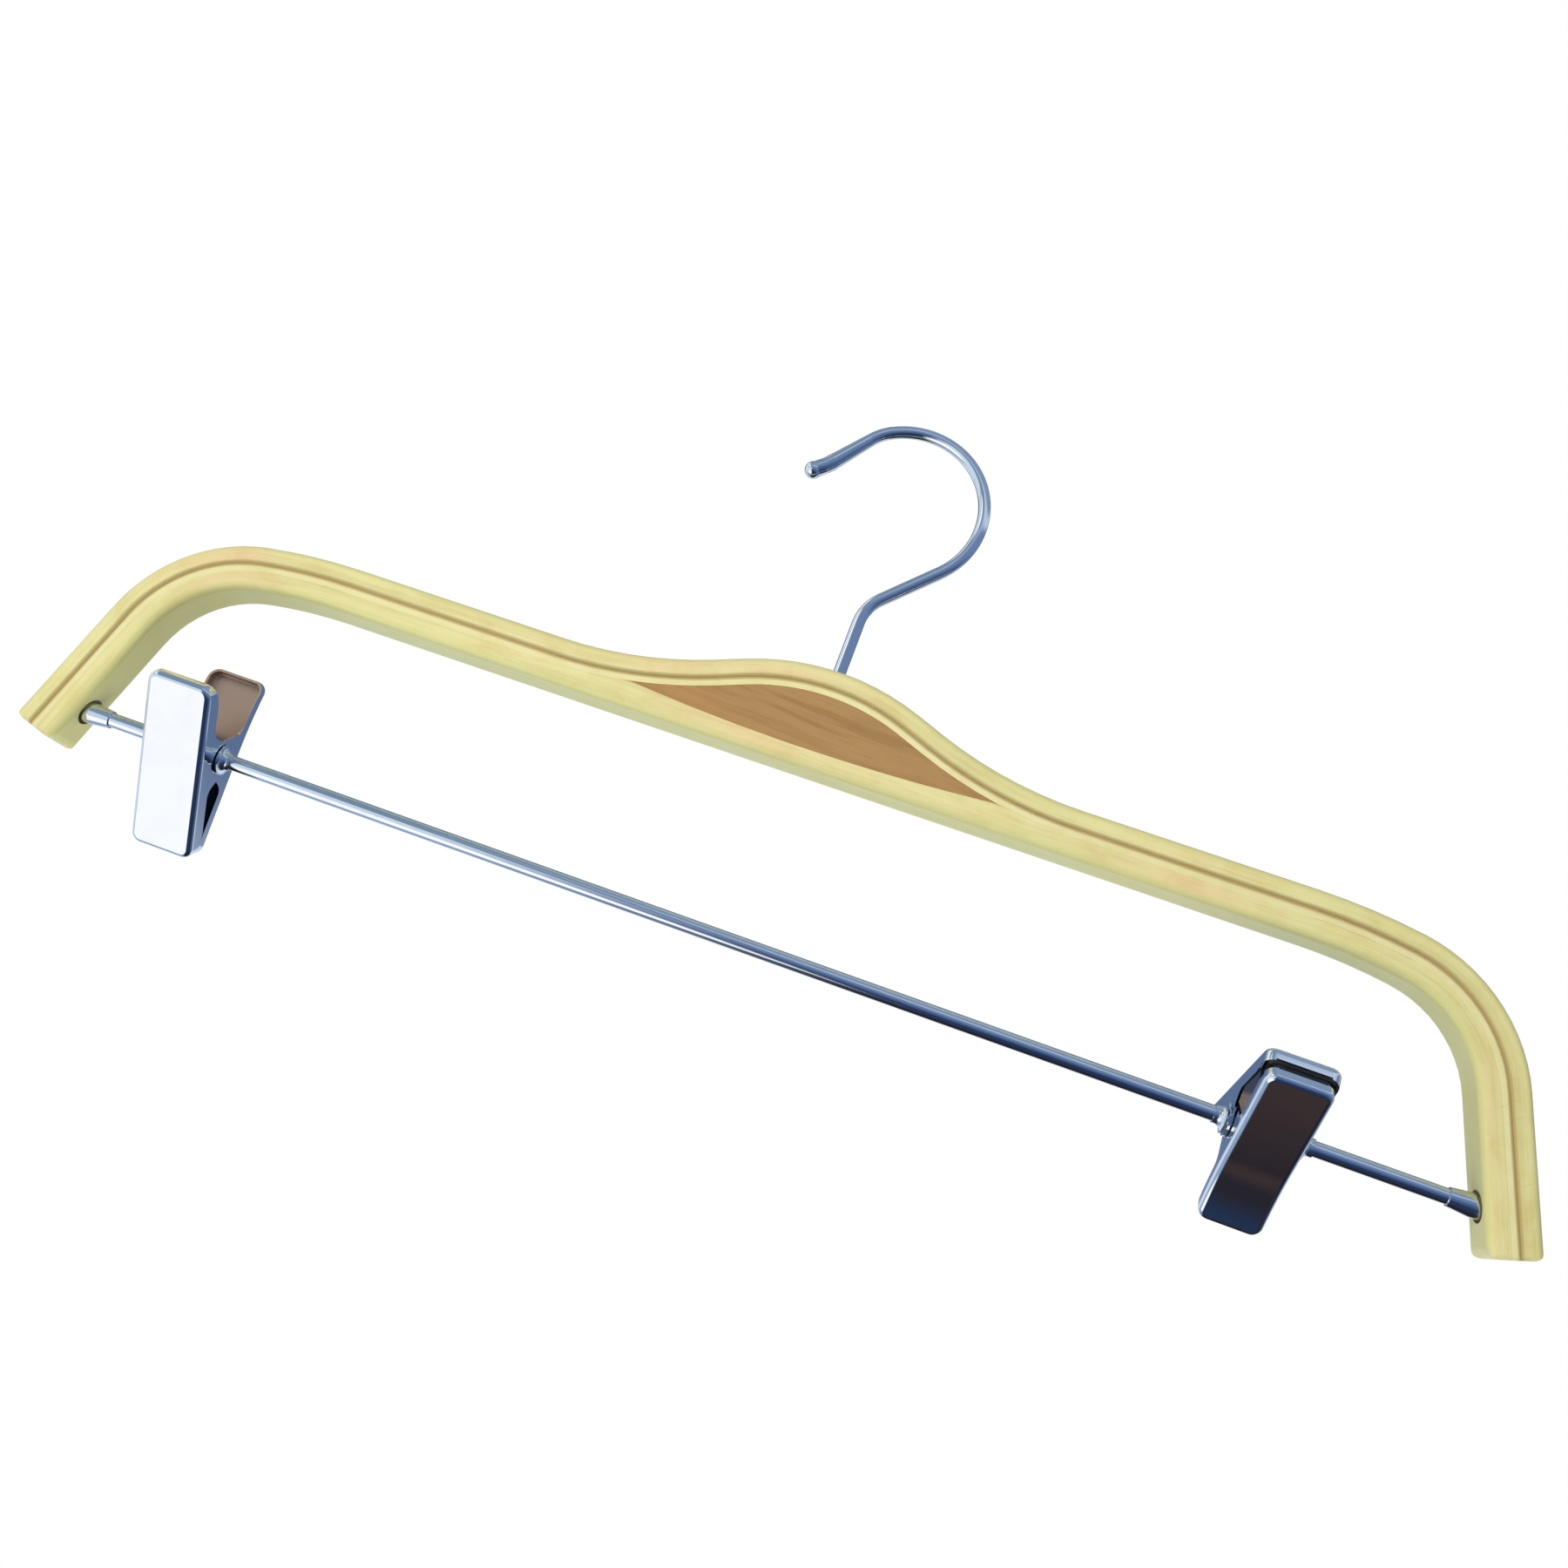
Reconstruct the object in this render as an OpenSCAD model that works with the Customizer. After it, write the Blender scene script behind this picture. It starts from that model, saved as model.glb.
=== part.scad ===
// Trouser hanger: bent laminated wood arch, swivelling wire hook, round bar, two sprung clips.
// Millimetres. The origin is the inside crown of the hook, where it hangs on a rail.
// X runs along the bar, Y from the front face to the back, Z up.

/* [Show] */
// part to show, or all of them

/* [Wooden arch] */
// depth of the wood from front to back
wood_depth = 14; // [12:0.5:18]
// height of the glue line of the flat arms above the bar
arm_height = 58.64; // [52:0.5:66]
// how far the glue line rises from the flat arms to the middle
crown_rise = 15.91; // [14:0.1:18]
// radius of the glue line over the middle
crown_radius = 64.3; // [55:0.5:75]
// angle the crown turns through on each side
crown_turn = 21.23; // [19:0.1:23]
// straight run down from the crown
slope_run = 8.5; // [4:0.5:12]
// length of the flat arm on each side
arm_run = 64.5; // [55:0.5:75]
// radius of the first gentle bend of the shoulder
shoulder_radius = 160; // [140:5:180]
// angle of the first gentle bend
shoulder_turn = 9.8; // [8:0.1:12]
// radius of the tight bend into the leg
elbow_radius = 38.8; // [34:0.2:46]
// slope of the leg below the horizontal
leg_angle = 73.22; // [70:0.1:76]
// how far the legs reach below the middle of the bar
leg_below = 9.7; // [8:0.1:14]

/* [Strips] */
// thickness of the top strip
top_thickness = 5.8; // [5:0.1:7]
// thickness of the thin pale strip between the other two
middle_thickness = 2.5; // [2:0.1:3]
// thickness of the bottom strip
bottom_thickness = 5.4; // [5:0.1:6.5]
// rounding of the long outer edges
edge_round = 2.2; // [1.5:0.1:2.4]
// half width of the groove along the glue line
groove_half = 1; // [0.6:0.1:1.3]
// depth of the groove along the glue line
groove_depth = 0.65; // [0.3:0.05:0.9]
// rounding of the leg ends seen from the front
leg_round = 3; // [2:0.1:3.5]
// rounding of the leg ends seen from the side
leg_side_round = 1.6; // [1:0.1:2]
// how far the insert dips below the glue line of the arms
insert_dip = 2.94; // [2.8:0.02:3.4]
// radius of the flat arc under the insert
insert_radius = 590; // [520:10:700]

/* [Hook] */
// thickness of the hook wire
wire_d = 3.7; // [3.4:0.1:4]
// radius of the loop to the middle of the wire
loop_radius = 23.7; // [21:0.1:26]
// angle where the loop ends, counted from the open side
loop_end = 117.5; // [110:0.5:126]
// height from the bar to the inside crown of the hook
hook_height = 158.25; // [150:0.25:170]
// lean of the neck away from upright
neck_lean = 45; // [38:1:50]
// radius of the bend at the foot of the neck
neck_radius = 12; // [9:0.5:15]
// radius of the tighter bend that follows the loop
brow_radius = 15; // [10:0.5:18]
// angle of that bend
brow_turn = 24; // [16:0.5:28]
// length of the slope over which the wire swells
tip_slope = 13.4; // [11:0.1:18]
// thickness of the swollen wire
tip_d = 4.7; // [4.3:0.1:4.8]
// radius of the small backward curl at the tip
curl_radius = 14; // [11:0.5:18]
// angle of the backward curl
curl_turn = 12; // [6:1:20]
// straight length at the tip
tip_run = 3; // [2:0.5:6]
// diameter of the rounded bead on the tip
bead_d = 5.2; // [5:0.1:5.6]

/* [Hook bearing] */
// outside diameter of the bush in the wood
bush_d = 7; // [6.6:0.1:7.4]
// diameter of the bush flange
flange_d = 9; // [8.6:0.1:9]
// thickness of the bush flange
flange_t = 1; // [0.8:0.1:1.2]
// diameter of the pocket for the nut, closed below by the bottom strip
pocket_d = 9.6; // [9.4:0.1:10]
// width of the hexagon nut across its flats
nut_flats = 7; // [6.6:0.1:7.2]
// thickness of the nut
nut_t = 2.4; // [2:0.1:2.6]

/* [Bar] */
// diameter of the bar
bar_d = 4.2; // [4:0.1:4.2]
// how deep a ferrule sits in the leg
ferrule_depth = 6.8; // [6.2:0.1:6.8]
// width of the shallow seat round a ferrule
seat_ring = 0.9; // [0.5:0.1:1.2]
// depth of that seat
seat_depth = 0.8; // [0.4:0.1:1.2]
// how far a ferrule stands out of the leg
ferrule_show = 7.2; // [6.5:0.1:8]
// length of the taper of the ferrule
ferrule_taper = 6; // [5:0.1:6]
// diameter of the ferrule in the wood
ferrule_d = 6.4; // [6.2:0.1:6.6]
// diameter of the ferrule at its visible end
ferrule_nose_d = 5; // [4.9:0.1:5.2]
// thickness of the closed end of the ferrule
ferrule_wall = 0.5; // [0.4:0.05:0.6]

/* [Clips] */
// free bar between the left clip and its ferrule
left_clip_gap = 13; // [2:0.2:60]
// free bar between the right clip and its ferrule
right_clip_gap = 34.5; // [2:0.1:60]
// angle the left clip is swung about the bar
left_swing = 22.9; // [-180:0.1:180]
// angle the right clip is swung about the bar, mouth upwards
right_swing = 244.2; // [180:0.1:300]
// width of the outer jaw
jaw_width = 19.2; // [18:0.1:22]
// length of a jaw from the bar to the mouth
mouth_reach = 29.3; // [27:0.1:32]
// length of a jaw from the bar to the end of its handle
handle_reach = 24.4; // [22:0.1:28]
// distance from the bar to the outer face of a jaw
jaw_offset = 11.1; // [10.8:0.1:12]
// angle between the two jaws at rest
jaw_spread = 26.3; // [24:0.1:28]
// thickness of the pressed sheet
sheet = 0.7; // [0.6:0.05:0.8]
// outer radius of the bends along the jaw
fold_round = 1.3; // [1.1:0.1:1.6]
// rounding of the jaw corners seen from the front
corner_round = 2.4; // [1.8:0.1:2.8]
// rounding of the jaw at the mouth, seen from the side
mouth_round = 3; // [2:0.1:3]
// rounding of the jaw at the handle end, seen from the side
handle_round = 1.6; // [1.2:0.1:2]
// depth of the lips across the two ends
lip_depth = 3.2; // [3:0.1:3.6]
// depth of the side walls
wall_depth = 5.5; // [5:0.1:6]
// radius of the ears round the bar
ear_radius = 4.8; // [4.6:0.1:5]
// distance from the bar where the side walls start to flare into the ears
flare_start = 11; // [9:0.5:12]
// distance from the bar where the wall starts to taper towards the mouth
mouth_taper = 19; // [17:0.5:20]
// length of the taper at the handle end
handle_taper = 6; // [4:0.5:8]
// length of the soft pad inside the mouth
pad_length = 9; // [7:0.5:10]
// radius of the grooves across the pad
pad_groove = 0.5; // [0.3:0.05:0.6]

/* [Sleeve and spring] */
// outside diameter of the sleeve between the ears
sleeve_d = 5.4; // [5.2:0.1:5.5]
// diameter of the rim that holds the ears
rim_d = 8.8; // [7.6:0.1:9.2]
// thickness of the rim
rim_t = 0.5; // [0.4:0.1:0.7]
// diameter of the sleeve at its outer ends
nose_d = 5; // [4.9:0.1:5.2]
// how far the sleeve stands out of the ears
sleeve_out = 3.4; // [3.2:0.1:4]
// thickness of the spring wire
spring_wire = 1; // [0.8:0.05:1.1]
// radius of the spring to the middle of its wire
spring_radius = 3.75; // [3.6:0.05:4]
// whole turns of the spring
spring_turns = 3; // [2:1:4]
// distance between two turns
spring_pitch = 1.6; // [1.5:0.05:1.8]
// height above the bar that the spring legs reach to
leg_reach = 9; // [8:0.5:14]

/* [Fits] */
// running clearance of a turning or sliding fit, on the radius
running_fit = 0.05; // [0.03:0.01:0.1]
// clear gap between pieces that move past each other
clear_gap = 0.3; // [0.3:0.05:0.4]
// clearance of a loose hole, on the radius
loose_fit = 0.3; // [0.2:0.05:0.4]

/* [Hidden] */
$fn = 48;
pale_wood = [0.88, 0.82, 0.58];
cream_wood = [0.92, 0.88, 0.68];
brown_wood = [0.66, 0.48, 0.3];
chrome_grey = [0.62, 0.68, 0.76];
dull_steel = [0.5, 0.52, 0.56];
brass_yellow = [0.8, 0.66, 0.34];
soft_black = [0.12, 0.12, 0.13];
// facets of the long shallow arcs
arc_facets = 240;
// facets of the small roundings
round_facets = 32;
$shy = 0;
// how far straight and bent lengths of a strip run into each other
lap = 0.3;
// how much thinner every second length of a strip is, on each face
seam_step = 0.02;
// how far the bends of the hook wire run into its straight lengths, and how much thinner they are
wire_lap = 0.3;
wire_step = 0.06;
over = 1;
half_depth = wood_depth / 2;
bar_z = -hook_height;
// radius that joins the slope to the flat arm
foot_radius = (crown_rise - slope_run * sin(crown_turn)) / (1 - cos(crown_turn)) - crown_radius;
arm_z = bar_z + arm_height;
crown_z = arm_z + crown_rise;
crown_end_x = crown_radius * sin(crown_turn);
crown_end_z = crown_z - crown_radius * (1 - cos(crown_turn));
slope_end_x = crown_end_x + slope_run * cos(crown_turn);
slope_end_z = crown_end_z - slope_run * sin(crown_turn);
foot_end_x = slope_end_x + foot_radius * sin(crown_turn);
arm_end_x = foot_end_x + arm_run;
elbow_end_x = arm_end_x + shoulder_radius * sin(shoulder_turn)
  + elbow_radius * (sin(leg_angle) - sin(shoulder_turn));
elbow_end_z = arm_z - shoulder_radius * (1 - cos(shoulder_turn))
  - elbow_radius * (cos(shoulder_turn) - cos(leg_angle));
leg_end_z = bar_z - leg_below;
leg_run = (elbow_end_z - leg_end_z) / sin(leg_angle);
leg_end_x = elbow_end_x + leg_run * cos(leg_angle);
under = middle_thickness + bottom_thickness;
// where the inner face of the leg crosses the height of the bar
leg_face_x = elbow_end_x + (elbow_end_z - bar_z) / tan(leg_angle) - under / sin(leg_angle);
insert_z = arm_z - insert_dip;
underside_z = arm_z - under;
insert_top_z = crown_z - middle_thickness;
flange_z = insert_z;
nut_top_z = flange_z - clear_gap;
wire_end_z = nut_top_z - nut_t - clear_gap;
pocket_floor_z = wire_end_z - clear_gap;
loop_z = wire_d / 2 - loop_radius;
neck_run = (loop_radius * cos(neck_lean) - neck_radius * (1 - cos(neck_lean))) / sin(neck_lean);
shank_top_z = loop_z - loop_radius * sin(neck_lean) - neck_radius * sin(neck_lean)
  - neck_run * cos(neck_lean);
wire_hole_d = wire_d + 2 * loose_fit;
ferrule_hole_d = ferrule_d + 2 * running_fit;
ferrule_end_x = leg_face_x + ferrule_depth;
ferrule_seam = leg_face_x - ferrule_show;
bar_half = ferrule_end_x - ferrule_wall;
ferrule_hole_end = ferrule_end_x + 2 * running_fit;
half_spread = jaw_spread / 2;
inner_jaw_width = jaw_width - 2 * (sheet + clear_gap);
sleeve_bore = bar_d + 2 * running_fit;
ear_hole_d = sleeve_d + 2 * running_fit;
rim_x = jaw_width / 2 + clear_gap;
sleeve_half = jaw_width / 2 + sleeve_out;
left_clip_x = ferrule_seam - left_clip_gap - sleeve_half;
right_clip_x = ferrule_seam - right_clip_gap - sleeve_half;
flare_distance = norm([jaw_offset - wall_depth, flare_start]);
flare_angle = atan2(flare_start, wall_depth - jaw_offset) - acos(ear_radius / flare_distance);
leg_clear = spring_wire / 2 + clear_gap;
leg_side_y = (jaw_offset - sheet - leg_clear) / cos(half_spread) + leg_reach * tan(half_spread);
leg_distance = norm([leg_side_y, leg_reach]);
leg_start_angle = atan2(leg_reach, leg_side_y) - acos(spring_radius / leg_distance);
leg_length = sqrt(leg_distance * leg_distance - spring_radius * spring_radius);
coil_turn = 360 * spring_turns + 180 + 2 * leg_start_angle;

// square corner to be cut away from round a fillet of the given radius
module corner_waste(r) {
  difference() {
    square(r + over);
    circle(r, $fn = round_facets);
  }
}

// section of a strip lying between two offsets from the glue line
module strip_section(low, high, round_low, round_high, groove_at) {
  half = half_depth - $shy;
  difference() {
    translate([low + $shy, -half])
      square([high - low - 2 * $shy, 2 * half]);
    for (side = [0, 1])
      mirror([0, side]) {
        if (round_high)
          translate([high - $shy - edge_round, half - edge_round])
            corner_waste(edge_round);
        if (round_low)
          translate([low + $shy + edge_round, half - edge_round])
            mirror([1, 0])
              corner_waste(edge_round);
        if (groove_at != 0)
          polygon([[-over * groove_at, half + over], [groove_half * groove_at, half + over],
            [groove_half * groove_at, half], [0, half - groove_depth],
            [-over * groove_at, half - groove_depth]]);
      }
  }
}

// straight length of strip along X
module straight(run) {
  rotate([180, 0, 0])
    rotate([0, 90, 0])
      linear_extrude(run)
        children();
}

// makes a length a little thinner than its neighbours, so that it can run into them
module shy() {
  let($shy = seam_step)
    children();
}

// bend that turns downwards, run on by the given length at both ends
module bend_down(r, turn, extra = 0) {
  slip = extra / r * 180 / PI;
  translate([0, 0, -r])
    rotate([90, 0, 0])
      rotate_extrude(angle = turn + 2 * slip, start = 90 - turn - slip, $fn = arc_facets)
        translate([r, 0])
          children();
}

// bend that turns upwards, run on by the given length at both ends
module bend_up(r, turn, extra = 0) {
  slip = extra / r * 180 / PI;
  translate([0, 0, r])
    rotate([90, 0, 0])
      rotate_extrude(angle = turn + 2 * slip, start = -90 - slip, $fn = arc_facets)
        translate([r, 0])
          mirror([1, 0])
            children();
}

// flat arm, shoulder, elbow and leg of one side
module outer_run() {
  translate([foot_end_x, 0, arm_z])
    straight(arm_run)
      children();
  translate([arm_end_x, 0, arm_z])
    bend_down(shoulder_radius, shoulder_turn, lap)
      shy()
        children();
  translate([arm_end_x + shoulder_radius * sin(shoulder_turn), 0,
    arm_z - shoulder_radius * (1 - cos(shoulder_turn))])
    rotate([0, shoulder_turn, 0])
      bend_down(elbow_radius, leg_angle - shoulder_turn)
        children();
  translate([elbow_end_x, 0, elbow_end_z])
    rotate([0, leg_angle, 0])
      translate([-lap, 0, 0])
        straight(leg_run + lap - seam_step)
          shy()
            children();
}

// slope and foot of one side of the crown
module inner_run() {
  translate([crown_end_x, 0, crown_end_z])
    rotate([0, crown_turn, 0])
      straight(slope_run)
        children();
  translate([slope_end_x, 0, slope_end_z])
    rotate([0, crown_turn, 0])
      bend_up(foot_radius, crown_turn, lap)
        shy()
          children();
}

// arc over the middle of the hanger
module crown_run() {
  translate([crown_radius * sin(-crown_turn), 0, crown_end_z])
    rotate([0, -crown_turn, 0])
      bend_down(crown_radius, 2 * crown_turn, lap)
        shy()
          children();
}

// both legs are rounded off at their cut ends
module leg_end_cuts() {
  for (side = [0, 1])
    mirror([side, 0, 0])
      translate([leg_end_x, 0, leg_end_z])
        rotate([0, leg_angle, 0]) {
          rotate([90, 0, 0])
            linear_extrude(wood_depth + 2 * over, center = true) {
              translate([-leg_round, top_thickness - leg_round])
                corner_waste(leg_round);
              translate([-leg_round, leg_round - under])
                mirror([0, 1])
                  corner_waste(leg_round);
            }
          translate([0, 0, -under - over])
            linear_extrude(under + top_thickness + 2 * over)
              for (face = [0, 1])
                mirror([0, face])
                  translate([-leg_side_round, half_depth - leg_side_round])
                    corner_waste(leg_side_round);
        }
}

// holes in the legs for the ferrules
module ferrule_holes() {
  for (side = [0, 1])
    mirror([side, 0, 0])
      translate([ferrule_seam - over, 0, bar_z])
        rotate([0, 90, 0])
          cylinder(h = ferrule_hole_end - ferrule_seam + over, d = ferrule_hole_d);
}

// shallow round seats in the inner faces of the legs, square to the wood
module ferrule_seats() {
  for (side = [0, 1])
    mirror([side, 0, 0])
      translate([leg_face_x, 0, bar_z])
        rotate([0, leg_angle, 0])
          cylinder(h = 2 * seat_depth, d = ferrule_d + 2 * seat_ring, center = true);
}

// upright hole for the hook wire
module wire_hole(d) {
  translate([0, 0, underside_z - over])
    cylinder(h = crown_z + top_thickness + over - underside_z + over, d = d);
}

// circles that bound the foot of the crown from above
module foot_discs() {
  for (side = [-1, 1])
    translate([side * foot_end_x, arm_z + foot_radius])
      circle(foot_radius + middle_thickness, $fn = arc_facets * 2);
}

// flat arc that bounds the insert from below
module insert_disc() {
  translate([0, insert_z + insert_radius])
    circle(insert_radius, $fn = arc_facets * 4);
}

// face of the insert, seen from the front
module insert_outline() {
  drop = middle_thickness;
  crown_x = (crown_radius - drop) * sin(crown_turn);
  crown_low_z = crown_end_z - drop * cos(crown_turn);
  slope_x = slope_end_x - drop * sin(crown_turn);
  slope_low_z = slope_end_z - drop * cos(crown_turn);
  intersection() {
    insert_disc();
    difference() {
      union() {
        intersection() {
          translate([0, crown_z - crown_radius])
            circle(crown_radius - drop, $fn = arc_facets);
          translate([-crown_x, underside_z])
            square([2 * crown_x, crown_z - underside_z]);
        }
        polygon([[-foot_end_x, underside_z], [foot_end_x, underside_z], [foot_end_x, slope_low_z],
          [slope_x, slope_low_z], [crown_x, crown_low_z], [-crown_x, crown_low_z],
          [-slope_x, slope_low_z], [-foot_end_x, slope_low_z]]);
      }
      foot_discs();
    }
  }
}

module top_strip() {
  color(pale_wood)
    difference() {
      union() {
        crown_run()
          top_section();
        for (side = [0, 1])
          mirror([side, 0, 0]) {
            inner_run()
              top_section();
            outer_run()
              top_section();
          }
      }
      leg_end_cuts();
      wire_hole(wire_hole_d);
    }
}

module top_section() {
  strip_section(0, top_thickness, false, true, 1);
}

module middle_strip() {
  color(cream_wood)
    difference() {
      union() {
        crown_run()
          middle_section();
        for (side = [0, 1])
          mirror([side, 0, 0]) {
            inner_run()
              middle_section();
            outer_run()
              middle_section();
          }
      }
      leg_end_cuts();
      ferrule_holes();
      wire_hole(wire_hole_d);
    }
}

module middle_section() {
  strip_section(-middle_thickness, 0, false, false, -1);
}

module bottom_strip() {
  color(pale_wood)
    difference() {
      union() {
        for (side = [0, 1])
          mirror([side, 0, 0])
            outer_run()
              bottom_section();
        bottom_middle();
      }
      leg_end_cuts();
      ferrule_holes();
      ferrule_seats();
      translate([0, 0, pocket_floor_z])
        cylinder(h = under, d = pocket_d);
    }
}

module bottom_section() {
  strip_section(-under, -middle_thickness, true, false, 0);
}

// straight middle of the bottom strip, with its seat for the insert
module bottom_middle() {
  intersection() {
    rotate([90, 0, 0])
      linear_extrude(wood_depth, center = true)
        difference() {
          translate([-foot_end_x, underside_z])
            square([2 * foot_end_x, bottom_thickness + insert_dip + over]);
          foot_discs();
          insert_disc();
        }
    translate([-foot_end_x, 0, underside_z + under])
      straight(2 * foot_end_x)
        strip_section(-under, top_thickness, true, false, 0);
  }
}

module walnut_insert() {
  color(brown_wood)
    difference() {
      rotate([90, 0, 0])
        linear_extrude(wood_depth, center = true)
          insert_outline();
      wire_hole(bush_d);
      translate([0, 0, insert_z - over])
        cylinder(h = flange_t + over, d = flange_d);
    }
}

// bend of the hook wire in the plane of the hanger, run a little into the lengths at both its ends
module wire_bend(r, from, turn, d) {
  slip = wire_lap / r * 180 / PI;
  rotate([90, 0, 0])
    rotate_extrude(angle = turn + 2 * slip, start = from - slip, $fn = arc_facets / 2)
      translate([r, 0])
        circle(d = d - wire_step, $fn = round_facets);
}

// short full length of wire that joins two bends, pointing along the wire at the given angle
module wire_joint(angle, d) {
  rotate([0, -angle, 0])
    translate([0, 0, -2 * wire_lap])
      cylinder(h = 4 * wire_lap, d = d);
}

module hook() {
  brow_end = loop_end + brow_turn;
  brow_reach = loop_radius - brow_radius;
  color(chrome_grey) {
    translate([0, 0, wire_end_z])
      cylinder(h = shank_top_z - wire_end_z, d = wire_d);
    translate([neck_radius, 0, shank_top_z])
      wire_bend(neck_radius, 180 - neck_lean, neck_lean, wire_d);
    translate([neck_radius * (1 - cos(neck_lean)), 0, shank_top_z + neck_radius * sin(neck_lean)])
      rotate([0, neck_lean, 0])
        cylinder(h = neck_run, d = wire_d);
    translate([0, 0, loop_z]) {
      wire_bend(loop_radius, -neck_lean, loop_end + neck_lean, wire_d);
      translate([loop_radius * cos(loop_end), 0, loop_radius * sin(loop_end)])
        wire_joint(loop_end, wire_d);
      translate([brow_reach * cos(loop_end), 0, brow_reach * sin(loop_end)]) {
        wire_bend(brow_radius, loop_end, brow_turn, wire_d);
        translate([brow_radius * cos(brow_end), 0, brow_radius * sin(brow_end)])
          rotate([0, -brow_end, 0])
            hook_tip();
      }
    }
  }
}

// swelling slope, curl and bead, from the end of the last bend upwards along the wire
module hook_tip() {
  cylinder(h = tip_slope, d1 = wire_d, d2 = tip_d - wire_step);
  translate([0, 0, tip_slope]) {
    wire_joint(0, tip_d);
    translate([curl_radius, 0, 0])
      wire_bend(curl_radius, 180 - curl_turn, curl_turn, tip_d);
    translate([curl_radius * (1 - cos(curl_turn)), 0, curl_radius * sin(curl_turn)])
      rotate([0, curl_turn, 0]) {
        translate([0, 0, -wire_lap])
          cylinder(h = tip_run + wire_lap, d = tip_d);
        translate([0, 0, tip_run])
          sphere(d = bead_d);
      }
  }
}

module hook_bush() {
  color(brass_yellow)
    difference() {
      union() {
        translate([0, 0, insert_z])
          cylinder(h = insert_top_z - clear_gap - insert_z, d = bush_d);
        translate([0, 0, flange_z])
          cylinder(h = flange_t, d = flange_d);
      }
      wire_hole(wire_d + 2 * running_fit);
    }
}

module hook_nut() {
  color(dull_steel)
    difference() {
      translate([0, 0, nut_top_z - nut_t])
        intersection() {
          cylinder(h = nut_t, d = nut_flats / cos(30), $fn = 6);
          rotate_extrude()
            polygon([[0, 0], [nut_flats / 2, 0], [nut_flats / 2 + nut_t / 6, nut_t / 6],
              [nut_flats / 2 + nut_t / 6, nut_t - nut_t / 6], [nut_flats / 2, nut_t], [0, nut_t]]);
        }
      wire_hole(wire_d);
    }
}

module trouser_bar() {
  chamfer = bar_d / 10;
  color(chrome_grey)
    translate([0, 0, bar_z])
      rotate([0, 90, 0])
        rotate_extrude()
          polygon([[0, -bar_half], [bar_d / 2 - chamfer, -bar_half], [bar_d / 2, chamfer - bar_half],
            [bar_d / 2, bar_half - chamfer], [bar_d / 2 - chamfer, bar_half], [0, bar_half]]);
}

// turned cap on the right end of the bar, its nose towards the middle
module ferrule() {
  taper_end = ferrule_seam + ferrule_taper;
  color(chrome_grey)
    translate([0, 0, bar_z])
      rotate([0, 90, 0])
        rotate_extrude()
          polygon([[bar_d / 2, ferrule_seam], [ferrule_nose_d / 2, ferrule_seam],
            [ferrule_d / 2, taper_end], [ferrule_d / 2, ferrule_end_x], [0, ferrule_end_x],
            [0, bar_half], [bar_d / 2, bar_half]]);
}

module left_ferrule() {
  mirror([1, 0, 0])
    ferrule();
}

module right_ferrule() {
  ferrule();
}

// rectangle with its corners rounded, from one corner to the opposite one
module round_plate(low, high, r) {
  difference() {
    translate(low)
      square(high - low);
    translate([high.x - r, high.y - r])
      corner_waste(r);
    translate([low.x + r, high.y - r])
      mirror([1, 0])
        corner_waste(r);
    translate([high.x - r, low.y + r])
      mirror([0, 1])
        corner_waste(r);
    translate([low.x + r, low.y + r])
      rotate(180)
        corner_waste(r);
  }
}

// side of a jaw: depth from its outer face against height from the bar
module jaw_side() {
  ear_x = jaw_offset + ear_radius * cos(flare_angle);
  ear_y = ear_radius * sin(flare_angle);
  difference() {
    union() {
      polygon([[0, -mouth_reach], [lip_depth, -mouth_reach], [wall_depth, -mouth_taper],
        [wall_depth, -flare_start], [ear_x, -ear_y], [ear_x, ear_y], [wall_depth, flare_start],
        [wall_depth, handle_reach - handle_taper], [lip_depth, handle_reach], [0, handle_reach]]);
      translate([jaw_offset, 0])
        circle(ear_radius);
    }
    translate([mouth_round, mouth_round - mouth_reach])
      rotate(180)
        corner_waste(mouth_round);
    translate([handle_round, handle_reach - handle_round])
      mirror([1, 0])
        corner_waste(handle_round);
    translate([jaw_offset, 0])
      circle(d = ear_hole_d);
  }
}

// hollow of a jaw, seen from the side
module jaw_hollow() {
  difference() {
    translate([sheet, sheet - mouth_reach])
      square([2 * jaw_offset, mouth_reach + handle_reach - 2 * sheet]);
    translate([mouth_round, mouth_round - mouth_reach])
      rotate(180)
        corner_waste(mouth_round - sheet);
    translate([handle_round, handle_reach - handle_round])
      mirror([1, 0])
        corner_waste(handle_round - sheet);
  }
}

// lays a side view, depth by height, into its upright plane and gives it a width
module side_slab(width) {
  translate([-width / 2, -jaw_offset, 0])
    rotate([90, 0, 90])
      linear_extrude(width)
        children();
}

// lays a front view, width by height, into its upright plane
module front_slab() {
  translate([0, 2 * jaw_offset, 0])
    rotate([90, 0, 0])
      linear_extrude(4 * jaw_offset)
        children();
}

// folded block with the given wall taken off all round
module folded_block(width, wall) {
  half = width / 2 - wall;
  depth = 2 * jaw_offset + ear_radius;
  intersection() {
    translate([0, -jaw_offset, -mouth_reach])
      linear_extrude(mouth_reach + handle_reach)
        difference() {
          translate([-half, wall])
            square([2 * half, depth]);
          for (side = [0, 1])
            mirror([side, 0])
              translate([half - fold_round + wall, fold_round])
                mirror([0, 1])
                  corner_waste(fold_round - wall);
        }
    front_slab()
      round_plate([-half, wall - mouth_reach], [half, handle_reach - wall], corner_round - wall);
    children();
  }
}

// pressed sheet jaw with its outer face towards the front
module jaw(width) {
  difference() {
    folded_block(width, 0)
      side_slab(width)
        jaw_side();
    folded_block(width, sheet)
      side_slab(width)
        jaw_hollow();
  }
}

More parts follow.
